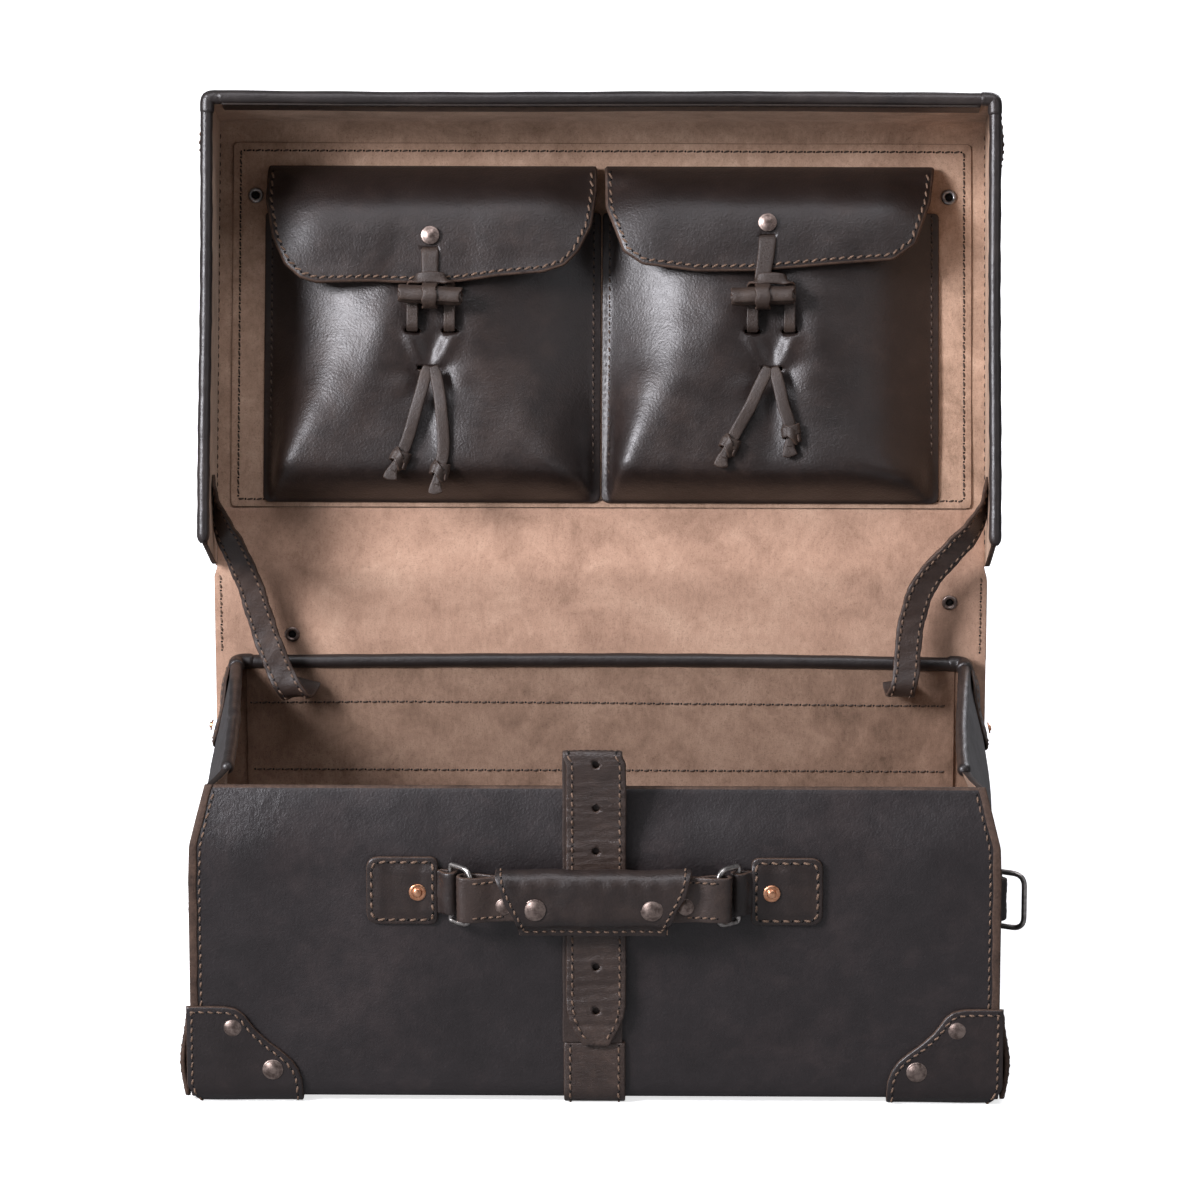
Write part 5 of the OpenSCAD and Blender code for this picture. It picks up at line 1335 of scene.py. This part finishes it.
stays = {
    "left": (-1, [(-248, 102, 336), (-246.5, 106, 320), (-243, 112, 303), (-236, 118, 284), (-228, 121, 264), (-222, 122, 244),
                  (-216, 120, 225), (-209, 116, 208), (-203, 112, 196), (-197, 115, 189), (-193, 123, 190), (-190, 131, 194)]),
    "right": (1, [(248, 102, 336), (246.5, 106, 322), (242, 112, 307), (233, 117, 292), (220, 120, 277), (209, 122, 261),
                  (203, 122, 243), (200, 120, 225), (199, 116, 209), (197, 113, 197), (195, 117, 190), (193, 125, 191), (192, 131, 195)])}
for nm, (sx, pts) in stays.items():
    sp = spline(pts, 1.5)
    W = spread([(0, (0.1, sx, 0)), (0.06, (0.25, sx, 0)), (0.14, (0.6, 0.7 * sx, 0)), (0.26, (1, 0.2 * sx, 0)), (1, (1, -0.1 * sx, 0))], len(sp))
    f_stay, LL = ribbon(sp, W, 2.4)
    swell = lambda u, v, h: f_stay(u, v, h + 0.25 * np.sin(u * 0.21) + 0.15 * np.sin(u * 0.5 + v * 0.3))
    m = Mesh()
    wv = [(u, 8.6 + 0.25 * math.sin(u * 0.31) + 0.15 * math.sin(u * 0.83)) for u in np.linspace(0, LL, 90)]
    wb = [(u, -8.6 - 0.25 * math.sin(u * 0.27 + 1) - 0.15 * math.sin(u * 0.9)) for u in np.linspace(LL, 0, 90)]
    panel("x", np.array(wv + wb), swell, 2.4, None, grid=3.0, edge_r=0.9, step=1.6, put=m)
    for e in (-1, 1):
        stitches(m, swell, [(3, e * 5.9), (LL - 3, e * 5.9)], 2.4, thread=3, pit_shade_slot=4, seed=81, pitch=5.4, length=3.9)
    o = m.make("stay_strap_" + nm, [BROWN, EDGE, BROWN, THREAD, PIT_PAINTED_SHADE], None, "brown_leather")
    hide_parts("stay_" + nm)
    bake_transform(o)

# ---------------------------------------------------------------- belt

back_path = [(0, -141.5, 41 + i) for i in range(0, 186)]
fold_arc = [(0, -143.0 - 1.5 * math.cos(a) * -1 * 1.0, 227 + 1.6 * math.sin(a)) for a in np.linspace(0, PI, 14)]
fold_arc = [(0, -143.0 + 1.5 * math.cos(a), 227 + 1.5 * math.sin(a)) for a in np.linspace(0, PI, 14)]
front_path = [(0, -144.5 - 0.0, 227 - i) for i in range(0, 188)]
cl = np.array(back_path + fold_arc[1:-1] + front_path, dtype=float)
f_b, BL = ribbon(cl, (1, 0, 0), 2.9)
FOLD = 186.0 + 4.7


draw = np.random.default_rng(17)
WRINKLES = [(at, draw.uniform(0.9, 2.1), draw.uniform(0.35, 0.85), draw.uniform(-0.12, 0.12))
            for at in np.r_[np.arange(FOLD + 16, FOLD + 76, 4.6), np.arange(FOLD + 128, FOLD + 180, 6.5)]]


def f_belt(u, v, h):
    zq = FOLD + 2 - u
    front = smooth((u - FOLD) / 6)
    wave = (0.7 * np.sin(u * 0.055) + 0.35 * np.sin(u * 0.13 + v * 0.05)) * front
    P = f_b(u, v, h)
    P[:, 0] += (1.0 * front - 1.3 * (1 - front)) * MM
    for at, wide_, deep, tilt_ in WRINKLES:
        P[:, 1] += deep * np.exp(-((u - at - tilt_ * v - 0.5 * np.sin(v * 0.35 + at)) / wide_) ** 2) * front * MM
    P[:, 1] -= (np.abs(wave) + 0.1) * MM * front
    P[:, 2] += np.where((u > 170) & (u < 205), 0.5 * np.cos(v / 19 * 1.4), 0) * MM
    return P


zs = lambda z: FOLD + (227 - z)
m = Mesh()
tip = [(zs(66), 18.4), (zs(58), 17.0), (zs(50), 13.6), (zs(44), 10.2), (zs(40.5), 8.3), (zs(39.0), 6.4), (zs(39.0), -6.4), (zs(40.5), -8.3),
       (zs(44), -10.2), (zs(50), -13.6), (zs(58), -17.0), (zs(66), -18.4)]
edge_a = [(u, 18.4 + 0.12 * math.sin(u * 0.12)) for u in np.linspace(0, zs(70), 120)]
edge_b = [(u, -18.4 - 0.12 * math.sin(u * 0.15)) for u in np.linspace(zs(70), 0, 120)]
holes = []
for v in (762, 805, 848, 887, 926, 965, 1010):
    z = 285.8 + ((600 - v) / 1.6237 + 37.5) / 0.9635
    a = np.linspace(0, 2 * PI, 16, endpoint=False)
    holes.append(np.stack([zs(z) + 2.5 * np.cos(a), -1.5 * 0 + 2.35 * np.sin(a)], 1))
panel("x", np.array(edge_a + tip + edge_b), f_belt, 2.9, None, grid=1.9, edge_r=0.9, step=1.6, put=m, holes=holes)
for e in (-1, 1):
    run = [(u, e * 14.6) for u in np.linspace(3, zs(68), 60)] + [(zs(58), e * 13.2), (zs(50), e * 10.0), (zs(43.5), e * 5.8)]
    stitches(m, f_belt, run, 2.9, thread=3, pit_shade_slot=4, seed=85 + e, pitch=5.8, length=4.2)
o = m.make("belt_strap", [BELT, EDGE, BROWN, THREAD, PIT_PAINTED_SHADE], "case", "brown_leather")
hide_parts("belt_free")

down = ([(0, -141.5, z) for z in np.arange(41, 9, -1.0)] + [(0, -134 - 7.5 * math.cos(a), 9 - 7.5 * math.sin(a)) for a in np.linspace(0, PI / 2, 10)][1:]
        + [(0, y, 1.5) for y in np.arange(-133, 134, 1.0)] + [(0, 134 + 7.5 * math.sin(a), 9 - 7.5 * math.cos(a)) for a in np.linspace(0, PI / 2, 10)]
        + [(0, 141.5, z) for z in np.arange(10, 92, 1.0)] + [(0, 141.5 + 3.5 * smooth((z - 92) / 9), z) for z in np.arange(92, 102, 1.0)]
        + [(0, 145.0, z) for z in np.arange(102, 260, 1.0)])
f_bs, SLn = ribbon(np.array(down, dtype=float), (1, 0, 0), 2.9)
m = Mesh()
panel("x", rounded([(0, -19), (SLn, -19), (SLn, 19), (0, 19)], [0.5, 9, 9, 0.5], 6), f_bs, 2.9, None, grid=4, edge_r=0.9, step=2.5, put=m)
for e in (-1, 1):
    stitches(m, f_bs, [(2, e * 15.0), (SLn - 8, e * 15.0)], 2.9, thread=3, pit_shade_slot=4, seed=88 + e, pitch=6.0, length=4.4)
o = m.make("belt_under_strap", [BELT, EDGE, BROWN, THREAD, PIT_PAINTED_SHADE], "case", "brown_leather")
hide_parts("belt_sewn")

# ---------------------------------------------------------------- belt end and buckle on the lid

BS, BW = 230.0, -6.75
lb = ([(0, s, -3.0) for s in np.arange(8, 221, 1.0)] + [(0, s, -3.0 - 0.1 * (s - 221) / 9) for s in np.arange(221, 230, 1.0)]
      + [(0, BS + 3.6 * math.sin(a), BW + 3.6 * math.cos(a)) for a in np.linspace(0, PI, 16)]
      + [(0, 228 - i, -10.35 + 4.6 * smooth(i / 16)) for i in np.arange(0, 17, 1.0)] + [(0, 211 - i, -5.75) for i in np.arange(0, 14, 1.0)])
pl = lid3(lb)
f_lb, LBL = ribbon(pl, (1, 0, 0), 2.5)
bend = 222 + PI * 3.6 / 2
m = Mesh()
panel("x", rounded([(0, -18.5), (LBL, -18.5), (LBL, 18.5), (0, 18.5)], [6, 5, 5, 6], 5), f_lb, 2.5, None, grid=4, edge_r=0.8, step=2.2, put=m,
      holes=[rounded([(bend - 9, -4.4), (bend + 16, -4.4), (bend + 16, 4.4), (bend - 9, 4.4)], 3.5, 4)])
fl2 = lambda u, v, h: f_lb(u, v, h)
for e in (-1, 1):
    stitches(m, f_lb, [(4, e * 14.8), (216, e * 14.8)], 2.5, thread=3, pit_shade_slot=4, seed=94 + e, pitch=6.0, length=4.4)
    stitches(m, f_lb, [(LBL - 22, e * 14.8), (LBL - 4, e * 14.8)], 2.5, thread=3, pit_shade_slot=4, seed=96 + e, pitch=6.0, length=4.4)
stitches(m, f_lb, [(LBL - 4, -14.8), (LBL - 4, 14.8)], 2.5, thread=3, pit_shade_slot=4, seed=98, pitch=6.0, length=4.4)
o = m.make("lid_belt_strap", [BELT, EDGE, BROWN, THREAD, PIT_PAINTED_SHADE], "lid", "brown_leather")
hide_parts("buckle_strap")
m = Mesh()
fr = rounded([(-20.5, BS), (20.5, BS), (20.5, BS + 30), (-20.5, BS + 30)], [1.0, 1.0, 6, 6], 6)
fr = resample(fr, 1.2, True)
tube(lid3([(a, b, BW) for a, b in fr]), 1.6, 14, closed=True, m=m)
tube(lid3([(a, BS + 30, BW) for a in np.linspace(-13, 13, 12)]), 2.2, 14, m=m)
o = m.make("buckle_frame_bar", [STEEL], "buckle", "antique_metal")
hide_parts("buckle_frame")
m = Mesh()
eye = [(0.0, BS + 2.9 * math.cos(a), BW + 2.9 * math.sin(a)) for a in np.linspace(0, 2 * PI, 28, endpoint=False)]
tube(lid3(eye), 1.15, 12, closed=True, m=m, up=(1, 0, 0))
pr = spline([(0, BS + 1.5, BW - 2.6), (0, BS + 10, BW - 3.0), (0, BS + 22, BW - 2.8), (0, BS + 30, BW - 3.0), (0, BS + 33, BW - 3.2)], 1.0)
tube(lid3(pr), 1.5, 14, m=m, radii=np.interp(np.arange(len(pr)), [0, len(pr) * 0.7, len(pr) - 1], [1.7, 1.45, 1.0]))
o = m.make("buckle_tongue", [STEEL], "prong", "antique_metal")
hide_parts("buckle_prong")

# ---------------------------------------------------------------- ring patches

burrs = Mesh()


def frame_map(origin, ex, out):
    o0, e0, n0 = (np.array(q, dtype=float) for q in (origin, ex, out))
    up = np.array([0.0, 0.0, 1.0])

    def f(u, v, h):
        return (o0 + np.outer(u, e0) + np.outer(v, up) + np.outer(h, n0)) * MM
    return f


def ring_patch(name, node_name, origin, ex, out, seed):
    base = frame_map(origin, ex, out)

    def f(u, v, h):
        d = np.minimum(22 - np.abs(u), 21.7 - np.abs(v))
        raised = 0.9 * smooth((d - 4.6) / 3.4)
        over = 1.9 * smooth((u - 10) / 9) * smooth((17.5 - np.abs(v)) / 3.5)
        return base(u, v, h + raised + over + 0.25 * np.sin(u * 0.3 + seed) * smooth(d / 6))
    m = Mesh()
    panel("x", rounded([(-22, -21.7), (22, -21.7), (22, 21.7), (-22, 21.7)], [8, 5, 5, 8], 6), f, 2.6, None, grid=2.2, edge_r=1.0, step=1.5, put=m)
    ring = rounded([(-18.9, -18.6), (18.9, -18.6), (18.9, 18.6), (-18.9, 18.6)], [6, 3, 3, 6], 5)
    stitches(m, f, ring, 2.6, closed=True, thread=3, pit_shade_slot=4, seed=seed, pitch=6.6, length=5.0, r=0.75)
    # the neck, folded round the bar of the ring and back under the patch
    bx, bo = 30.0, 5.0
    pts = ([(17, 1.9), (20, 2.1), (23.5, 3.7), (26.4, 7.0)] +
           [(bx + 3.6 * math.cos(a), bo + 3.6 * math.sin(a)) for a in np.linspace(math.radians(112), math.radians(-90), 16)] +
           [(27, 1.4), (22.6, 1.4)])
    sp = spline([(a, 0, b) for a, b in pts], 0.8)
    P = base(sp[:, 0], sp[:, 1], sp[:, 2]) / MM
    f_n, NL = ribbon(P, (0, 0, 1), 2.6)
    test = f_n(np.array([2.0]), np.array([0.0]), np.array([2.6]))[0] - f_n(np.array([2.0]), np.array([0.0]), np.array([0.0]))[0]
    if test @ np.array(out) < 0:
        f_n, NL = ribbon(P, (0, 0, -1), 2.6)
    g = lambda u, v, h: f_n(u, v * (1 + 0.02 * np.sin(u * 0.4)), h + 0.2 * np.sin(v * 0.35 + u * 0.3))
    panel("x", rounded([(0, -13.6), (NL, -13.9), (NL, 13.9), (0, 13.6)], [5, 0.5, 0.5, 5], 5), g, 2.6, None, grid=2.2, edge_r=1.0, step=1.4, put=m)
    o = m.make(name, [POCKET, EDGE, BROWN, THREAD, PIT_PAINTED_SHADE], "case", "leather")
    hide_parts(node_name)
    c = base(np.array([9.5]), np.array([-0.4]), np.array([3.5]))[0]
    lathe(burrs, [(5.3, -0.5), (5.4, 0.5), (5.1, 1.0), (3.5, 1.15), (3.1, 0.95), (2.9, 1.3), (2.7, 2.1), (2.2, 2.5), (1.1, 2.7), (0.1, 2.75)],
          c, out)


ring_patch("patch_left", "handle_patch_left", (-118.5, -140, 139), (1, 0, 0), (0, -1, 0), 101)
ring_patch("patch_right", "handle_patch_right", (118.5, -140, 139), (-1, 0, 0), (0, -1, 0), 103)
ring_patch("side_patch_left", "end_patch_left", (-250, 13, 95), (0, -1, 0), (-1, 0, 0), 105)
ring_patch("side_patch_right", "end_patch_right", (250, 13, 95), (0, -1, 0), (1, 0, 0), 107)
for sx in (-1, 1):
    fe = f_end(sx)
    burr(burrs, lambda u, v, h: fe(u, v, h + 3.0), 120, 153.5 + 13.5, 1.6, 0, 0.7)
o = burrs.make("copper_burrs", [COPPER], "case", "copper")
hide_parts("copper_rivets")

# ---------------------------------------------------------------- rings


def d_ring(name, node_name, bar, direction, body):
    d = np.array([direction[0], direction[1], 0.0])
    d /= np.linalg.norm(d)
    prof = rounded([(0, -18), (17, -18), (17, 18), (0, 18)], [1.6, 8, 8, 1.6], 9)
    prof = resample(prof, 1.1, True)
    pts = np.array(bar) + np.outer(prof[:, 0], d) + np.outer(prof[:, 1], (0, 0, 1))
    m = Mesh()
    tube(pts, 1.75, 14, closed=True, m=m, up=np.cross(d, (0, 0, 1)))
    o = m.make(name, [RING], body, "antique_metal")
    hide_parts(node_name)


ca, sa = math.sqrt(1 - (11.5 / 17) ** 2), 11.5 / 17
d_ring("ring_left", "handle_ring_left", (-88.5, -145, 139), (ca, -sa), "handle_ring_left")
d_ring("ring_right", "handle_ring_right", (88.5, -145, 139), (-ca, -sa), "handle_ring_right")
a = math.radians(78)
d_ring("side_ring_left", "end_ring_left", (-255, -17, 95), (-math.cos(a), math.sin(a)), "end_ring_left")
a = math.radians(25)
d_ring("side_ring_right", "end_ring_right", (255, -17, 95), (math.cos(a), -math.sin(a)), "end_ring_right")

# ---------------------------------------------------------------- handle

HYY, HZZ = -156.5, 139.0
loop = ([(x, HYY - 1.25) for x in np.arange(0, -60, -1.0)] + [(-64, HYY - 1.5), (-68, HYY - 2.7), (-72, HYY - 3.9), (-75.5, HYY - 4.2)]
        + [(-79.4 - 4.2 * math.sin(t), HYY - 4.2 * math.cos(t)) for t in np.linspace(0.15, PI - 0.15, 18)]
        + [(-75.5, HYY + 4.2), (-72, HYY + 3.9), (-68, HYY + 2.7), (-64, HYY + 1.5)] + [(x, HYY + 1.25) for x in np.arange(-60, 1, 1.0)])
right_half = [(-x, y) for x, y in loop[::-1]]
cl = np.array([(x, y, HZZ) for x, y in loop + right_half[1:]])
f_hs, HL = ribbon(cl, (0, 0, 1), 2.2)
t0 = f_hs(np.array([10.0]), np.array([0.0]), np.array([2.2]))[0] - f_hs(np.array([10.0]), np.array([0.0]), np.array([0.0]))[0]
if t0[1] > 0:
    f_hs, HL = ribbon(cl, (0, 0, -1), 2.2)
m = Mesh()
g = lambda u, v, h: f_hs(u, v + 0.3 * np.sin(u * 0.11), h + 0.15 * np.sin(u * 0.4 + v * 0.2))
panel("x", rect(0.2, -14.4, HL - 0.2, 14.4, 0.3), g, 2.2, None, grid=2.6, edge_r=0.8, step=1.6, put=m)
for a0, a1 in ((56, 76), (HL / 2 - 76, HL / 2 - 56), (HL / 2 + 56, HL / 2 + 76), (HL - 76, HL - 56)):
    for e in (-1, 1):
        stitches(m, g, [(a0, e * 11.2), (a1, e * 11.2)], 2.2, thread=3, pit_shade_slot=4, seed=111, pitch=5.2, length=3.9)
o = m.make("handle_loop_strap", [BROWN, EDGE, BROWN, THREAD, PIT_PAINTED_SHADE], "handle", "brown_leather")
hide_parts("handle_strap")

half = ([(0.0, 18.5)] + [(-10 * math.sin(t), 8.5 + 10 * math.cos(t)) for t in np.linspace(0.12, PI / 2, 12)]
        + [(-10.0, 4.0), (-10.0, 0.0), (-10.0, -4.0), (-9.8, -8.5)] + [(-9.6, -10.4), (-8.8, -13.0), (-7.2, -15.4), (-5.0, -17.3), (-3.3, -18.9), (-2.6, -20.6), (-2.3, -23.6)])
half = np.array(half)
ring = np.vstack([np.stack([-half[::-1, 0], half[::-1, 1]], 1), half[1:]])
gp = spline([(0, a, b) for a, b in ring], 0.6)
gd = np.r_[0, np.cumsum(np.linalg.norm(np.diff(gp, axis=0), axis=1))]
GG = gd[-1]
gt = np.gradient(gp, axis=0)
gt /= np.linalg.norm(gt, axis=1)[:, None]
gn = np.stack([np.zeros(len(gp)), gt[:, 2], -gt[:, 1]], 1)
if gn[len(gn) // 2, 2] < 0:
    gn = -gn


def f_sleeve(u, v, h):
    y = np.interp(v, gd, gp[:, 1])
    z = np.interp(v, gd, gp[:, 2])
    ny = np.interp(v, gd, gn[:, 1])
    nz = np.interp(v, gd, gn[:, 2])
    front = (v > GG / 2).astype(float)
    hh = h - 1.8
    for x in (-36.0, 36.0):
        hh = hh - 1.0 * np.exp(-((u - x) ** 2 + (z + 4.5) ** 2) / 90.0) * front
    hh = hh + 0.35 * wob(u, v, 121, 42, 1.0) + 0.15 * wob(u, v, 122, 14, 1.0)
    return np.stack([u, HYY + y + ny * hh, HZZ + z + nz * hh], 1) * MM


zz = lambda v: np.interp(v, gd, gp[:, 2])
vs = np.linspace(0, GG, 120)
half_len = lambda v: 46.0 + (60.6 - 46.0) * smooth((zz(v) + 23.5) / 42) ** 0.9 - 0.0
wave = lambda v, k: 0.5 * np.sin(v * 0.35 + k)
left_e = np.stack([-(half_len(vs) + wave(vs, 0)), vs], 1)
right_e = np.stack([half_len(vs[::-1]) - 1.2 + wave(vs[::-1], 2), vs[::-1]], 1)
m = Mesh()
panel("x", np.vstack([left_e, right_e]), f_sleeve, 1.8, None, grid=2.2, edge_r=0.7, step=1.5, put=m)
for sgn, fn in ((-1, lambda v: -(half_len(v) - 3.4)), (1, lambda v: half_len(v) - 4.6)):
    stitches(m, f_sleeve, np.stack([fn(vs), vs], 1)[3:-3], 1.8, thread=3, pit_shade_slot=4, seed=123, pitch=5.4, length=4.0)
for vv0 in (GG - 3.2, 3.2):
    stitches(m, f_sleeve, [(-44, vv0), (43, vv0)], 1.8, thread=3, pit_shade_slot=4, seed=125, pitch=5.6, length=4.1)
o = m.make("grip_wrap", [POCKET, EDGE, SUEDE, THREAD, PIT_PAINTED_SHADE], "handle", "leather")
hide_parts("grip_sleeve")

# core of the grip: layers of leather that show at its open ends
m = Mesh()
ncs = 44
t = np.linspace(0, 2 * PI, ncs, endpoint=False)
r_c = 7.9
cy = r_c * np.cos(t)
cz = r_c * np.sin(t) + np.where(np.sin(t) >= 0, 8.3, -8.3)
xs = np.linspace(-1, 1, 40)
verts = []
for x in xs:
    e = 44.5 + (58.2 - 44.5) * smooth((cz + 16.2) / 32.4)
    k = 1 - 0.06 * np.exp(-((1 - abs(x)) / 0.02))
    verts.append(np.stack([x * e, HYY + cy * k, HZZ + cz * k], 1))
verts = np.concatenate(verts) * MM
faces = []
for i in range(len(xs) - 1):
    for k in range(ncs):
        k2 = (k + 1) % ncs
        faces.append([i * ncs + k, i * ncs + k2, (i + 1) * ncs + k2, (i + 1) * ncs + k])
faces.append(list(range(ncs - 1, -1, -1)))
faces.append([(len(xs) - 1) * ncs + k for k in range(ncs)])
m.put(verts, faces)
o = m.make("grip_filling", [SUEDE_FLAP], "handle", "brown_leather")
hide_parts("grip_core")

m = Mesh()
for x in (-36.4, 35.4):
    c = np.array([x, HYY - 9.3, HZZ - 4.5]) * MM
    lathe(m, [(6.9, -0.8), (6.9, 0.35)] + dome_profile(6.7, 2.4)[2:], c, (0, -1, 0))
    lathe(m, [(4.4, -0.8), (4.4, 0.3), (4.0, 0.8), (0.1, 0.95)], np.array([x, HYY + 9.6, HZZ]) * MM, (0, 1, 0))
for x in (-55.5, 56.0):
    lathe(m, [(5.2, -0.5), (5.2, 0.3)] + dome_profile(5.0, 1.8)[2:], np.array([x, HYY - 2.3, HZZ - 4.5]) * MM, (0, -1, 0))
o = m.make("grip_studs", [STEEL], "handle", "antique_metal")
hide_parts("grip_rivets")

# ---------------------------------------------------------------- floor, world and lights

m = Mesh()
n = 24
gx, gy = np.meshgrid(np.linspace(-8, 8, n), np.linspace(-8, 8, n))
fv = np.stack([gx.ravel(), gy.ravel(), np.zeros(n * n)], 1)
ff = [[i * n + j, i * n + j + 1, (i + 1) * n + j + 1, (i + 1) * n + j] for i in range(n - 1) for j in range(n - 1)]
me = bpy.data.meshes.new("floor")
me.from_pydata([tuple(v) for v in fv], [], ff)
floor = bpy.data.objects.new("floor", me)
bpy.context.scene.collection.objects.link(floor)
fm, nt, b = new_mat("floor_white")
b.inputs["Base Color"].default_value = (0.86, 0.86, 0.87, 1)
b.inputs["Roughness"].default_value = 0.95
b.inputs["Specular IOR Level"].default_value = 0.0
out = [n for n in nt.nodes if n.bl_idname == "ShaderNodeOutputMaterial"][0]
lpath = nt.nodes.new("ShaderNodeLightPath")
glow = node(nt, "ShaderNodeEmission", {"Color": (1, 1, 1, 1), "Strength": maths(nt, "MULTIPLY", lpath.outputs["Is Camera Ray"], 0.72)})
dark = node(nt, "ShaderNodeBsdfDiffuse", {"Color": (0.26, 0.26, 0.26, 1)})
pick = node(nt, "ShaderNodeMixShader", {0: lpath.outputs["Is Camera Ray"]})
nt.links.new(dark.outputs[0], pick.inputs[1])
nt.links.new(b.outputs[0], pick.inputs[2])
both = nt.nodes.new("ShaderNodeAddShader")
nt.links.new(pick.outputs[0], both.inputs[0])
nt.links.new(glow.outputs[0], both.inputs[1])
nt.links.new(both.outputs[0], out.inputs[0])
me.materials.append(fm)

world = bpy.data.worlds.new("studio")
bpy.context.scene.world = world
world.use_nodes = True
nt = world.node_tree
nt.nodes.clear()
wo = nt.nodes.new("ShaderNodeOutputWorld")
lp_ = nt.nodes.new("ShaderNodeLightPath")
seen = lp_.outputs["Is Camera Ray"]
sky = nt.nodes.new("ShaderNodeTexCoord").outputs["Generated"]
height = node(nt, "ShaderNodeSeparateXYZ", {0: sky}).outputs[2]
amb = node(nt, "ShaderNodeBackground", {0: (0.95, 0.97, 1, 1), 1: remap(nt, height, -0.3, 0.95, 0.05, 0.25)})
bg = node(nt, "ShaderNodeBackground", {0: (1, 1, 1, 1), 1: 1.0})
mx = node(nt, "ShaderNodeMixShader", {0: seen})
nt.links.new(amb.outputs[0], mx.inputs[1])
nt.links.new(bg.outputs[0], mx.inputs[2])
nt.links.new(mx.outputs[0], wo.inputs[0])


def area(name, loc, aim, size, size_y, power):
    d = bpy.data.lights.new(name, "AREA")
    d.shape = "RECTANGLE"
    d.size = size
    d.size_y = size_y
    d.energy = power
    d.color = (0.95, 0.94, 1.0)
    o = bpy.data.objects.new(name, d)
    o.location = loc
    o.rotation_euler = (Vector(aim) - Vector(loc)).to_track_quat("-Z", "Y").to_euler()
    bpy.context.scene.collection.objects.link(o)


area("key", (-2.5, -1.9, 2.0), (0, 0, 0.28), 1.1, 1.1, 215)
area("top", (0.2, -0.9, 2.9), (0, 0, 0.2), 2.2, 1.0, 30)
area("side_right", (2.6, -1.9, 1.5), (0, 0, 0.3), 0.8, 1.7, 8)
area("low_left", (-1.9, -3.0, 0.75), (-0.1, 0, 0.2), 1.2, 0.7, 14)
area("behind", (1.4, 2.9, 2.2), (0, 0, 0.25), 2.0, 1.2, 60)

view = bpy.context.scene.view_settings
view.view_transform = "Standard"
